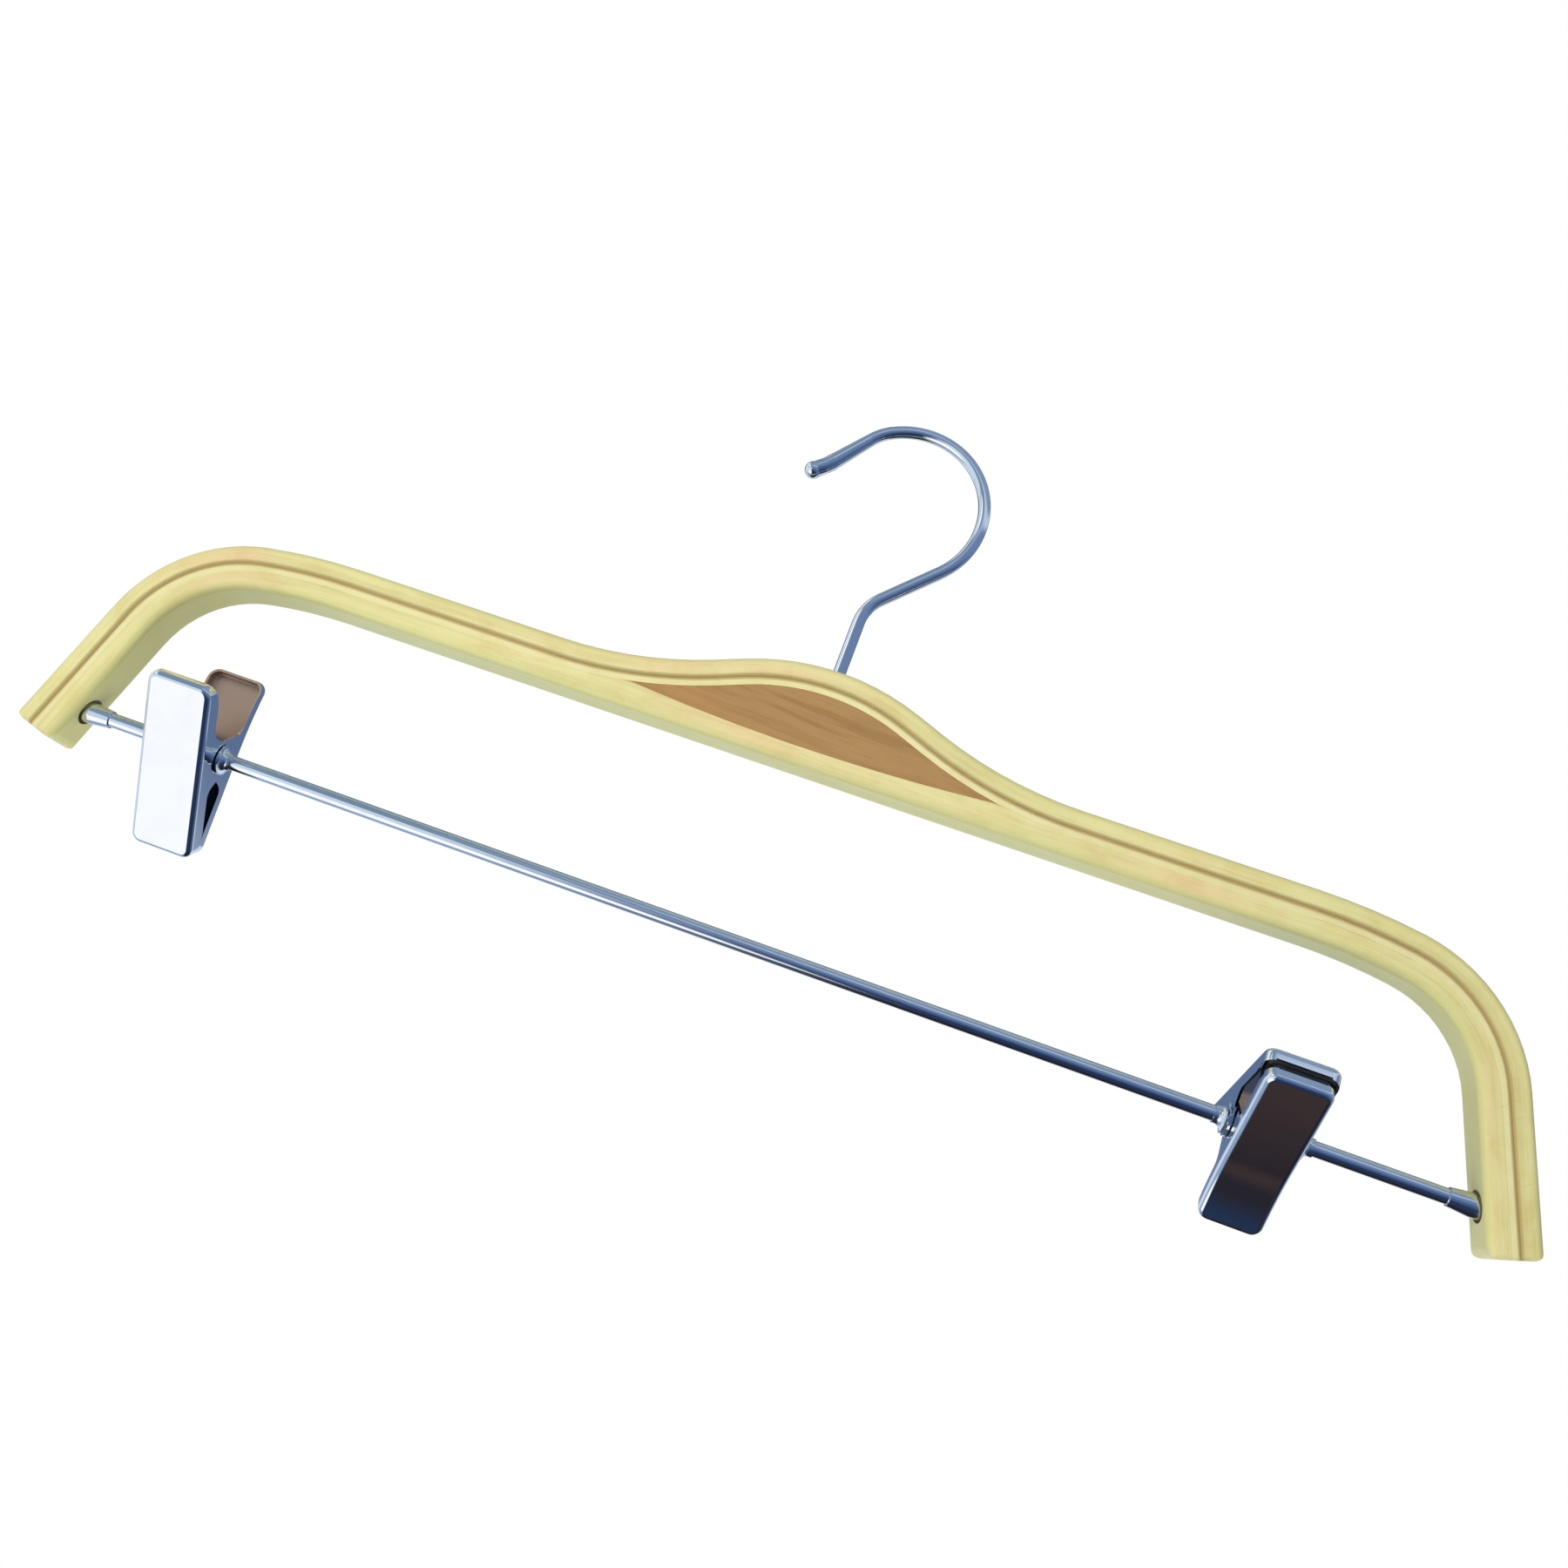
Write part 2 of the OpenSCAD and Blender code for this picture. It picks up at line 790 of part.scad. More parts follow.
// soft pad glued into the mouth of a jaw
module pad(width) {
  half = width / 2 - fold_round;
  foot_y = sheet - mouth_reach;
  top_y = foot_y + pad_length;
  face_low = jaw_offset + (foot_y * sin(half_spread) - clear_gap / 2) / cos(half_spread);
  face_high = jaw_offset + (top_y * sin(half_spread) - clear_gap / 2) / cos(half_spread);
  intersection() {
    side_slab(width)
      difference() {
        polygon([[mouth_round, foot_y], [face_low, foot_y], [face_high, top_y], [sheet, top_y],
          [sheet, mouth_round - mouth_reach]]);
        for (k = [1:4])
          translate([face_low + (face_high - face_low) * k / 5, foot_y + pad_length * k / 5])
            circle(pad_groove, $fn = 24);
      }
    front_slab()
      round_plate([-half, foot_y], [half, top_y], corner_round - sheet);
  }
}

// sleeve through both jaws, spread like a trumpet against the outer ears
module sleeve() {
  bell = (rim_d - nose_d) / 2;
  rotate([0, 90, 0])
    rotate_extrude()
      for (side = [0, 1])
        mirror([0, side])
          difference() {
            translate([sleeve_bore / 2, -over])
              square([(rim_d - sleeve_bore) / 2, sleeve_half + over]);
            translate([sleeve_d / 2, -2 * over])
              square([rim_d, rim_x + 2 * over]);
            translate([nose_d / 2 + bell, rim_x + rim_t + bell])
              circle(bell);
            translate([nose_d / 2, rim_x + rim_t + bell])
              square([rim_d, sleeve_half]);
          }
}

// a turning point of the spring wire: angle round the bar, distance along it, run along the leg
coil_steps = ceil(coil_turn / 45);
function coil_angle(k) = 180 - leg_start_angle + coil_turn * k / coil_steps;
function coil_x(k) = (k / coil_steps - 0.5) * coil_turn / 360 * spring_pitch;
function wire_centre(k, run) = [coil_x(k), spring_radius * cos(coil_angle(k)) - run * sin(coil_angle(k)),
  spring_radius * sin(coil_angle(k)) + run * cos(coil_angle(k))];
function wire_ring(k, run) = [for (s = [0:5]) wire_centre(k, run) + spring_wire / 2 * [sin(60 * s),
  cos(60 * s) * cos(coil_angle(k)), cos(60 * s) * sin(coil_angle(k))]];
spring_rings = concat([wire_ring(0, -leg_length)], [for (k = [0:coil_steps]) wire_ring(k, 0)],
  [wire_ring(coil_steps, leg_length)]);
ring_count = len(spring_rings);
spring_points = [for (ring = spring_rings) for (point = ring) point];
spring_faces = concat([[for (s = [0:5]) s]],
  [for (r = [0:ring_count - 2]) for (s = [0:5]) [6 * r + s, 6 * r + 6 + s, 6 * r + 6 + (s + 1) % 6,
    6 * r + (s + 1) % 6]],
  [[for (s = [5:-1:0]) 6 * (ring_count - 1) + s]]);
// least distance between surface points of neighbouring turns
spring_gaps = [for (k = [0:coil_steps - 8]) for (j = [k + 7:min(k + 9, coil_steps)])
  for (a = wire_ring(k, 0)) for (b = wire_ring(j, 0)) norm(a - b)];
echo(least_spring_gap = min(spring_gaps));

// torsion spring round the sleeve, both legs pressing on the handles
module spring() {
  mirror([1, 0, 0])
    polyhedron(spring_points, spring_faces);
}

// puts a clip piece on the bar
module on_left() {
  translate([-left_clip_x, 0, bar_z])
    rotate([left_swing, 0, 0])
      children();
}

module on_right() {
  translate([right_clip_x, 0, bar_z])
    rotate([right_swing, 0, 0])
      children();
}

// spreads a piece of the outer jaw to its rest angle
module outer_side() {
  rotate([half_spread, 0, 0])
    children();
}

// turns a piece to the inner jaw on the other side of the bar
module inner_side() {
  rotate([-half_spread, 0, 0])
    mirror([0, 1, 0])
      children();
}

module left_outer_jaw() {
  color(chrome_grey)
    on_left()
      outer_side()
        jaw(jaw_width);
}

module left_inner_jaw() {
  color(chrome_grey)
    on_left()
      inner_side()
        jaw(inner_jaw_width);
}

module left_clip_sleeve() {
  color(dull_steel)
    on_left()
      sleeve();
}

module left_clip_spring() {
  color(dull_steel)
    on_left()
      spring();
}

module left_outer_pad() {
  color(soft_black)
    on_left()
      outer_side()
        pad(jaw_width);
}

module left_inner_pad() {
  color(soft_black)
    on_left()
      inner_side()
        pad(inner_jaw_width);
}

module right_outer_jaw() {
  color(chrome_grey)
    on_right()
      outer_side()
        jaw(jaw_width);
}

module right_inner_jaw() {
  color(chrome_grey)
    on_right()
      inner_side()
        jaw(inner_jaw_width);
}

module right_clip_sleeve() {
  color(dull_steel)
    on_right()
      sleeve();
}

module right_clip_spring() {
  color(dull_steel)
    on_right()
      spring();
}

module right_outer_pad() {
  color(soft_black)
    on_right()
      outer_side()
        pad(jaw_width);
}

module right_inner_pad() {
  color(soft_black)
    on_right()
      inner_side()
        pad(inner_jaw_width);
}

top_strip();
middle_strip();
bottom_strip();
walnut_insert();
hook();
hook_bush();
hook_nut();
trouser_bar();
left_ferrule();
right_ferrule();
left_outer_jaw();
left_inner_jaw();
left_clip_sleeve();
left_clip_spring();
left_outer_pad();
left_inner_pad();
right_outer_jaw();
right_inner_jaw();
right_clip_sleeve();
right_clip_spring();
right_outer_pad();
right_inner_pad();
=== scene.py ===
"""Trouser hanger: laminated wood arch, swivelling wire hook, bar and two sprung clips.

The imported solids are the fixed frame. This file dresses them: it lays the grain of the wood along its
bent strips, winds the springs and presses the jaws of the clips, gives every piece its finish and sets
up a small studio. Lengths are in metres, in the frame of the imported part: X along the bar, Y to the
back, Z up.
"""

import math
from collections import Counter

import bpy
from mathutils import Matrix, Vector


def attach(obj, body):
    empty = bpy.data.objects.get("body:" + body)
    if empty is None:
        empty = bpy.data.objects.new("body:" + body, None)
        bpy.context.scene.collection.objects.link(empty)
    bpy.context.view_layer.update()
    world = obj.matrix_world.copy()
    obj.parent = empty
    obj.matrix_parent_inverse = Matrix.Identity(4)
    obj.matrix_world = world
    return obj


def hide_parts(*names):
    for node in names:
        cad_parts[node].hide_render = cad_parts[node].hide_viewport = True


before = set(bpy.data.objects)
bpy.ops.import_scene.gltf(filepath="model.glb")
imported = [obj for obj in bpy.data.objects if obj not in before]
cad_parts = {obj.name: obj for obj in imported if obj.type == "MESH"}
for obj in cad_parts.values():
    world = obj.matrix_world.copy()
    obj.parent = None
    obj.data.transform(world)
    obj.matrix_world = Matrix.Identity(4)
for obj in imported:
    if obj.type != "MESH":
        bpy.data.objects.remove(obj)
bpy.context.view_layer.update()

bl_info = {
    "name": "Trouser hanger",
    "version": (1, 0, 0),
    "blender": (4, 5, 0),
    "location": "View3D > Sidebar > Hanger",
    "description": "Dresses a wooden trouser hanger with clips and lights it",
    "category": "Object",
}

MM = 0.001
NEAR = 0.001 * MM


def srgb(r, g, b):
    """Colour of 0 to 255 values, as the linear colour a shader takes."""

    def linear(c):
        c /= 255
        return c / 12.92 if c <= 0.04045 else ((c + 0.055) / 1.055) ** 2.4

    return (linear(r), linear(g), linear(b), 1.0)


def opaque(color):
    """Colour of a setting with full alpha."""
    return tuple(color[:3]) + (1.0,)


def darker(color, share):
    """The colour times a share below one."""
    return opaque([c * share for c in color[:3]])


# Glue line of the bent strips, from the middle outwards, as the solids have it
BAR_Z = -158.25 * MM
ARM_Z = BAR_Z + 58.64 * MM
CROWN_RISE = 15.91 * MM
CROWN_RADIUS = 64.3 * MM
CROWN_TURN = math.radians(21.23)
SLOPE_RUN = 8.5 * MM
ARM_RUN = 64.5 * MM
SHOULDER_RADIUS = 160 * MM
SHOULDER_TURN = math.radians(9.8)
ELBOW_RADIUS = 38.8 * MM
LEG_ANGLE = math.radians(73.22)
ENDLESS_RUN = 1.0
SLOPE_DROP = SLOPE_RUN * math.sin(CROWN_TURN)
FOOT_RADIUS = (CROWN_RISE - SLOPE_DROP) / (1 - math.cos(CROWN_TURN)) - CROWN_RADIUS
FOOT_X = (CROWN_RADIUS + FOOT_RADIUS) * math.sin(CROWN_TURN) + SLOPE_RUN * math.cos(CROWN_TURN)
GLUE_LINE = (
    ("down", CROWN_RADIUS, CROWN_TURN), ("run", SLOPE_RUN, 0), ("up", FOOT_RADIUS, CROWN_TURN),
    ("run", ARM_RUN, 0), ("down", SHOULDER_RADIUS, SHOULDER_TURN),
    ("down", ELBOW_RADIUS, LEG_ANGLE - SHOULDER_TURN), ("run", ENDLESS_RUN, 0),
)

# Seats of the ferrules, drilled into the inner side of the legs
SEAT_RADIUS = 4.1 * MM
SEAT_TOP, SEAT_FADE = 3 * MM, 2 * MM

# Clips, as the solids have them
LEFT_CLIP_X = -166.04 * MM
RIGHT_CLIP_X = 144.54 * MM
LEFT_SWING = math.radians(22.9)
RIGHT_SWING = math.radians(244.2)
CLIPS = (("left", LEFT_CLIP_X, LEFT_SWING), ("right", RIGHT_CLIP_X, RIGHT_SWING))
JAW_SPREAD = math.radians(26.3)
JAW_FACE = 11.1 * MM
JAW_SHEET = 0.7 * MM
LEG_GAP = 0.3 * MM
OUTER_JAW_WIDTH = 19.2 * MM
INNER_JAW_WIDTH = OUTER_JAW_WIDTH - 2 * (JAW_SHEET + LEG_GAP)
MOUTH_REACH = 28.6 * MM
HANDLE_REACH = 24.4 * MM
EAR_RADIUS = 4.8 * MM
EAR_HOLE = 2.75 * MM
LIP_DEPTH = 3.2 * MM

# How finely the round forms are made
WIRE_SIDES = 14
COIL_STEPS = 24
SPRING_SMOOTH = math.radians(40)
CORNER_STEPS = 8
FOLD_STEPS = 6
EAR_STEPS = 12
HOLE_SIDES = 48
JAW_SMOOTH = math.radians(35)

# Pressing of the jaws
PROFILE_FRONT = -1 * MM
WALL_ROUNDING = 2 * MM
BOW_START = 2 * MM
BOW_SLICES = 10

# Marks in the finishes, per metre, and how deep the relief of a finish is
HAIRLINES = 1500.0
TOOL_MARKS = 420.0
GRAIN_RELIEF = 0.1 * MM
SCRATCH_RELIEF = 0.05 * MM
CROSS_SCRATCH_TURN = math.radians(68)
ELBOW_FROM, ELBOW_TO = 0.15, 0.2
# Width of the painted shade along the rounded borders of the wood
SHADE_BORDER_BLUR = 2.5 * MM
INSIDE_BLUR = 0.3 * MM
HANDLE_BLUR = 5 * MM

# Colours that no setting changes
# Painted shade inside the seats of the ferrules
SEAT_SHADE = srgb(92, 66, 40)
INSERT_PATCH = srgb(186, 134, 66)
# Painted shade inside the mouths of the jaws
PAINTED_MOUTH_SHADE = srgb(84, 98, 124)
TOOL_SHINE = srgb(232, 224, 214)
RUBBER = srgb(24, 24, 26)
RUBBER_DUST = srgb(62, 60, 58)

# Cloths of the tent, seen only in the plated metal
FRONT_LOW, FRONT_HIGH, FRONT_TOP = srgb(70, 92, 132), srgb(112, 134, 172), srgb(132, 154, 182)
FRONT_LAMP = srgb(196, 212, 232)
LEFT_LOW, LEFT_HIGH = srgb(216, 229, 243), srgb(122, 147, 168)
BACK_LOW, BACK_HIGH = srgb(214, 226, 240), srgb(96, 116, 150)
BELOW_BACK, BELOW_MIDDLE = srgb(38, 36, 43), srgb(62, 51, 51)
BELOW_NEAR, BELOW_FRONT, BELOW_LEFT = srgb(42, 40, 48), srgb(36, 56, 88), srgb(150, 172, 204)
UPRIGHT_LAMP = srgb(244, 248, 252)
# towards, cosine at the full edge, cosine at the faded edge, light
WHITE_PATCHES = (
    ((-0.476, -0.384, -0.791), 0.93, 0.89, (1.12, 1.12, 1.1, 1)),
    ((-0.75, -0.55, 0.36), 0.985, 0.97, (1.1, 1.14, 1.2, 1)),
)

# name, place, aim, side of the square, colour
LAMPS = (
    ("key", (-0.3, -1.05, 0.5), (0, 0, -0.08), 0.9, (1, 1, 1)),
    ("fill", (-1.0, -0.5, -0.1), (0, 0, -0.1), 0.7, (1, 1, 1)),
    ("back", (0.4, 1.2, 0.3), (0, 0, -0.1), 0.9, (1, 1, 1)),
    ("bounce", (0.0, -0.2, -0.68), (0, -0.2, 0), 0.9, (0.86, 0.93, 1.0)),
)
LENS_MM = SENSOR_MM = 36.0
CLIP_START, CLIP_END = 0.01, 20.0


# Helpers for objects


def deselect():
    """Leaves edit mode and selects nothing."""
    if bpy.context.object and bpy.context.object.mode != "OBJECT":
        bpy.ops.object.mode_set(mode="OBJECT")
    bpy.ops.object.select_all(action="DESELECT")


def pick(obj):
    """Makes obj the only selected and the active object."""
    deselect()
    obj.select_set(True)
    bpy.context.view_layer.objects.active = obj


def apply_transform():
    """Moves the place, turn and size of the selected object into its mesh."""
    bpy.ops.object.transform_apply(location=True, rotation=True, scale=True)


def settle(obj, material, body, slot, *nodes):
    """Places a finished piece at the origin, gives it its finish and hangs it on its body."""
    pick(obj)
    apply_transform()
    obj.data.materials.clear()
    obj.data.materials.append(material)
    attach(obj, body)
    if nodes:
        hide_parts(*nodes)
    deselect()
    return obj


def copy_of(node, name):
    """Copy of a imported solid, with its own mesh and its exact normals."""
    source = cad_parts[node]
    obj = bpy.data.objects.new(name, source.data.copy())
    bpy.context.scene.collection.objects.link(obj)
    return obj


def select_edges(obj, chosen):
    """Enters edit mode with the edges selected whose number and two ends pass the test."""
    pick(obj)
    bpy.ops.object.mode_set(mode="EDIT")
    bpy.ops.mesh.select_all(action="DESELECT")
    bpy.ops.mesh.select_mode(type="EDGE")
    bpy.ops.object.mode_set(mode="OBJECT")
    for edge in obj.data.edges:
        edge.select = chosen(edge.index, *(obj.data.vertices[i].co for i in edge.vertices))
    bpy.ops.object.mode_set(mode="EDIT")


def bevel_edges(obj, chosen, width, segments):
    """Rounds the edges whose two ends pass the test."""
    select_edges(obj, lambda _, a, b: chosen(a, b))
    bpy.ops.mesh.bevel(offset=width, segments=segments, profile=0.5, affect="EDGES")
    bpy.ops.object.mode_set(mode="OBJECT")


def face_outwards(obj, merge):
    """Turns all faces outwards, after merging doubled points where merge is set."""
    pick(obj)
    bpy.ops.object.mode_set(mode="EDIT")
    bpy.ops.mesh.select_all(action="SELECT")
    if merge:
        bpy.ops.mesh.remove_doubles(threshold=NEAR)
    bpy.ops.mesh.normals_make_consistent(inside=False)
    bpy.ops.object.mode_set(mode="OBJECT")


def cut(obj, tool, how):
    """Boolean of obj with a tool that is used up."""
    pick(obj)
    step = obj.modifiers.new("cut", "BOOLEAN")
    step.operation = how
    step.solver = "EXACT"
    step.object = tool
    bpy.ops.object.modifier_apply(modifier="cut")
    bpy.data.objects.remove(tool)


# Helpers for shader nodes


class Graph:
    """Short way to write a node tree."""

    def __init__(self, tree):
        self.tree = tree
        self.tree.nodes.clear()

    def add(self, kind, **settings):
        node = self.tree.nodes.new(kind)
        for key, value in settings.items():
            setattr(node, key, value)
        return node

    def join(self, out, into):
        self.tree.links.new(out, into)

    def put(self, value, socket):
        """Links the value if it is a socket, and sets it otherwise."""
        if isinstance(value, bpy.types.NodeSocket):
            self.join(value, socket)
        else:
            socket.default_value = value

    def feed(self, node, *values):
        """Puts the values into the inputs of a node in their order; gives its outputs."""
        for value, socket in zip(values, node.inputs):
            self.put(value, socket)
        return node.outputs

    def fill(self, node, **values):
        """The same by name; an underscore in a keyword stands for a space."""
        for key, value in values.items():
            self.put(value, node.inputs[key.replace("_", " ")])
        return node.outputs

    def math(self, how, *values, clamp=False):
        return self.feed(self.add("ShaderNodeMath", operation=how, use_clamp=clamp), *values)[0]

    def product(self, first, *others):
        for other in others:
            first = self.math("MULTIPLY", first, other)
        return first

    def vector(self, how, *values):
        """Vector maths, whose result is a number for a dot product or a length."""
        outputs = self.feed(self.add("ShaderNodeVectorMath", operation=how), *values)
        return outputs["Value" if how in ("DOT_PRODUCT", "LENGTH") else "Vector"]

    def split(self, vector):
        return self.feed(self.add("ShaderNodeSeparateXYZ"), vector)

    def combine(self, *values):
        return self.feed(self.add("ShaderNodeCombineXYZ"), *values)[0]

    def coordinates(self, kind="Object"):
        return self.add("ShaderNodeTexCoord").outputs[kind]

    def fade(self, value, start, end, low=0.0, high=1.0):
        """Smooth ramp from low at the start to high at the end."""
        ramp = self.add("ShaderNodeMapRange", interpolation_type="SMOOTHSTEP")
        return self.feed(ramp, value, start, end, low, high)[0]

    def band(self, value, rise, fall):
        """One between two ramps and zero beyond them."""
        return self.product(self.fade(value, *rise), self.fade(value, *fall))

    def mix(self, share, a, b, blend="MIX"):
        node = self.add("ShaderNodeMix", data_type="RGBA", blend_type=blend)
        self.put(share, node.inputs[0])
        self.put(a, node.inputs[6])
        self.put(b, node.inputs[7])
        return node.outputs[2]

    def place(self, vector, scale=(1, 1, 1), shift=(0, 0, 0), turn=(0, 0, 0)):
        return self.feed(self.add("ShaderNodeMapping"), vector, shift, turn, scale)[0]

    def noise(self, vector, scale, detail=3.0, roughness=0.5, distortion=0.0):
        return self.fill(self.add("ShaderNodeTexNoise"), Vector=vector, Scale=scale, Detail=detail,
                         Roughness=roughness, Distortion=distortion)["Fac"]

    def bump(self, height, strength, distance):
        return self.fill(self.add("ShaderNodeBump"), Strength=strength, Distance=distance,
                         Height=height)[0]

    def use(self, name, **values):
        """Outputs of a shared group whose named inputs are filled."""
        return self.fill(self.add("ShaderNodeGroup", node_tree=shared_group(name)), **values)


def new_group(name, inputs, outputs):
    """Empty shader node group with named sockets; gives its graph, its inputs and its outputs."""
    tree = bpy.data.node_groups.new(name, "ShaderNodeTree")
    graph = Graph(tree)
    for label, kind, value in inputs:
        socket = tree.interface.new_socket(name=label, in_out="INPUT", socket_type=kind)
        if value is not None:
            socket.default_value = value
    for label, kind in outputs:
        tree.interface.new_socket(name=label, in_out="OUTPUT", socket_type=kind)
    return graph, graph.add("NodeGroupInput").outputs, graph.add("NodeGroupOutput").inputs


def grain_group(name):
    """Straight-grained wood: growth bands, fine fibres and broad patches, along the first axis."""
    graph, given, result = new_group(
        name,
        [("Vector", "NodeSocketVector", None), ("Light", "NodeSocketColor", (0.7, 0.6, 0.3, 1)),
         ("Dark", "NodeSocketColor", (0.5, 0.4, 0.2, 1)),
         ("Patch", "NodeSocketColor", (0.7, 0.5, 0.3, 1)),
         ("Bands", "NodeSocketFloat", 260.0), ("Fibres", "NodeSocketFloat", 1600.0),
         ("Waviness", "NodeSocketFloat", 0.5), ("Band Depth", "NodeSocketFloat", 0.5)],
        [("Color", "NodeSocketColor"), ("Height", "NodeSocketFloat")],
    )
    vector = given["Vector"]
    wander = graph.noise(graph.place(vector, scale=(0.25, 1, 1)), scale=60.0, detail=2.0)
    sway = graph.product(given["Waviness"], 0.012)
    long_way = graph.place(vector, scale=(0.06, 1, 1))
    swayed = graph.vector("MULTIPLY_ADD", wander, graph.combine(0.0, sway, sway), long_way)
    bands = graph.noise(swayed, scale=given["Bands"], detail=2.0, roughness=0.55)
    fibres = graph.noise(graph.place(vector, scale=(0.035, 1, 1)), scale=given["Fibres"],
                         detail=3.0, roughness=0.6)
    patches = graph.noise(graph.place(vector, scale=(0.45, 1, 1)), scale=30.0, detail=2.0)
    band_mask = graph.product(graph.fade(bands, 0.38, 0.68), given["Band Depth"])
    tone = graph.mix(band_mask, given["Light"], given["Dark"])
    tone = graph.mix(graph.fade(patches, 0.48, 0.72, 0.0, 0.7), tone, given["Patch"])
    tone = graph.mix(graph.fade(fibres, 0.5, 0.75, 0.0, 0.22), tone, given["Dark"], "MULTIPLY")
    graph.join(tone, result["Color"])
    graph.join(graph.math("ADD", graph.product(bands, 0.4), fibres), result["Height"])
    return graph.tree


def scratch_group(name):
    """Fine straight scratches in one direction, broken up into short lengths."""
    graph, given, result = new_group(
        name,
        [("Vector", "NodeSocketVector", None), ("Density", "NodeSocketFloat", 900.0),
         ("Amount", "NodeSocketFloat", 0.5)],
        [("Mask", "NodeSocketFloat")],
    )
    lines = graph.noise(graph.place(given["Vector"], scale=(0.02, 1, 0.4)),
                        scale=given["Density"], detail=2.0, roughness=0.7)
    gaps = graph.noise(graph.place(given["Vector"], shift=(3, 5, 7)), scale=130.0, detail=2.0)
    mask = graph.product(graph.fade(lines, 0.62, 0.72), graph.fade(gaps, 0.5, 0.62), given["Amount"])
    graph.join(mask, result["Mask"])
    return graph.tree


def smudge_group(name):
    """Soft cloudy marks from handling."""
    graph, given, result = new_group(
        name,
        [("Vector", "NodeSocketVector", None), ("Size", "NodeSocketFloat", 90.0)],
        [("Mask", "NodeSocketFloat")],
    )
    cloud = graph.noise(given["Vector"], scale=given["Size"], detail=4.0, roughness=0.55,
                        distortion=0.4)
    graph.join(graph.fade(cloud, 0.4, 0.75), result["Mask"])
    return graph.tree


GROUP_MAKERS = {"wood grain": grain_group, "fine scratches": scratch_group,
                "handling marks": smudge_group}


def shared_group(name):
    """The named node group, built the first time it is asked for."""
    return bpy.data.node_groups.get(name) or GROUP_MAKERS[name](name)


def new_material(name):
    """Material with one Principled shader; gives it with its graph and its shader."""
    material = bpy.data.materials.new(name)
    material.use_nodes = True
    graph = Graph(material.node_tree)
    shader = graph.add("ShaderNodeBsdfPrincipled")
    graph.join(shader.outputs[0], graph.add("ShaderNodeOutputMaterial").inputs[0])
    return material, graph, shader


# The wood


def strip_place(x, z):
    """Distance along the glue line and height above it, of a point of the arch."""
    x = abs(x)
    at_x, at_z, slope, along = 0.0, ARM_Z + CROWN_RISE, 0.0, 0.0
    for kind, size, turn in GLUE_LINE:
        forward = (math.cos(slope), -math.sin(slope))
        normal = (math.sin(slope), math.cos(slope))
        if kind == "run":
            dx, dz = x - at_x, z - at_z
            run = dx * forward[0] + dz * forward[1]
            if run <= size:
                return along + run, dx * normal[0] + dz * normal[1]
            at_x, at_z, along = at_x + size * forward[0], at_z + size * forward[1], along + size
            continue
        side = 1 if kind == "down" else -1
        centre = (at_x - side * size * normal[0], at_z - side * size * normal[1])
        px, pz = x - centre[0], z - centre[1]
        angle = math.atan2(px * forward[0] + pz * forward[1],
                           side * (px * normal[0] + pz * normal[1]))
        if angle <= turn:
            return along + angle * size, side * (math.hypot(px, pz) - size)
        slope += side * turn
        at_x = centre[0] + side * size * math.sin(slope)
        at_z = centre[1] + side * size * math.cos(slope)
        along += size * turn
    return along, 0.0


def straight_place(x, z):
    """The same for the lower strip, which runs straight on below the insert."""
    if abs(x) > FOOT_X:
        return strip_place(x, z)
    return strip_place(FOOT_X, ARM_Z)[0] + abs(x) - FOOT_X, z - ARM_Z


def lay_grain(obj, place):
    """UV map whose first axis runs along the strip and whose second is the height above the glue."""
    layer = obj.data.uv_layers.new(name="grain")
    points = [place(v.co.x, v.co.z) for v in obj.data.vertices]
    sign = [1 if v.co.x >= 0 else -1 for v in obj.data.vertices]
    for loop in obj.data.loops:
        along, above = points[loop.vertex_index]
        layer.data[loop.index].uv = (sign[loop.vertex_index] * along, above)


def strip_vector(graph):
    """Vector of distance along the strip, height above the glue line and depth, and its first two."""
    along, above, _ = graph.split(graph.add("ShaderNodeUVMap", uv_map="grain").outputs[0])
    depth = graph.split(graph.coordinates())[1]
    return graph.combine(along, above, depth), along, above


def seat_shade_mask(graph, above):
    """One inside the seats of the ferrules, where the wood is given painted shade."""
    _, depth, height = graph.split(graph.coordinates())
    rise = graph.math("SUBTRACT", height, BAR_Z)
    away = graph.math("SQRT", graph.math("ADD", graph.product(rise, rise),
                                         graph.product(depth, depth)))
    seat_shade_share = graph.fade(away, SEAT_RADIUS * 1.04, SEAT_RADIUS * 0.9, 0.0, 0.85)
    return graph.product(seat_shade_share, graph.fade(above, SEAT_TOP, SEAT_FADE))


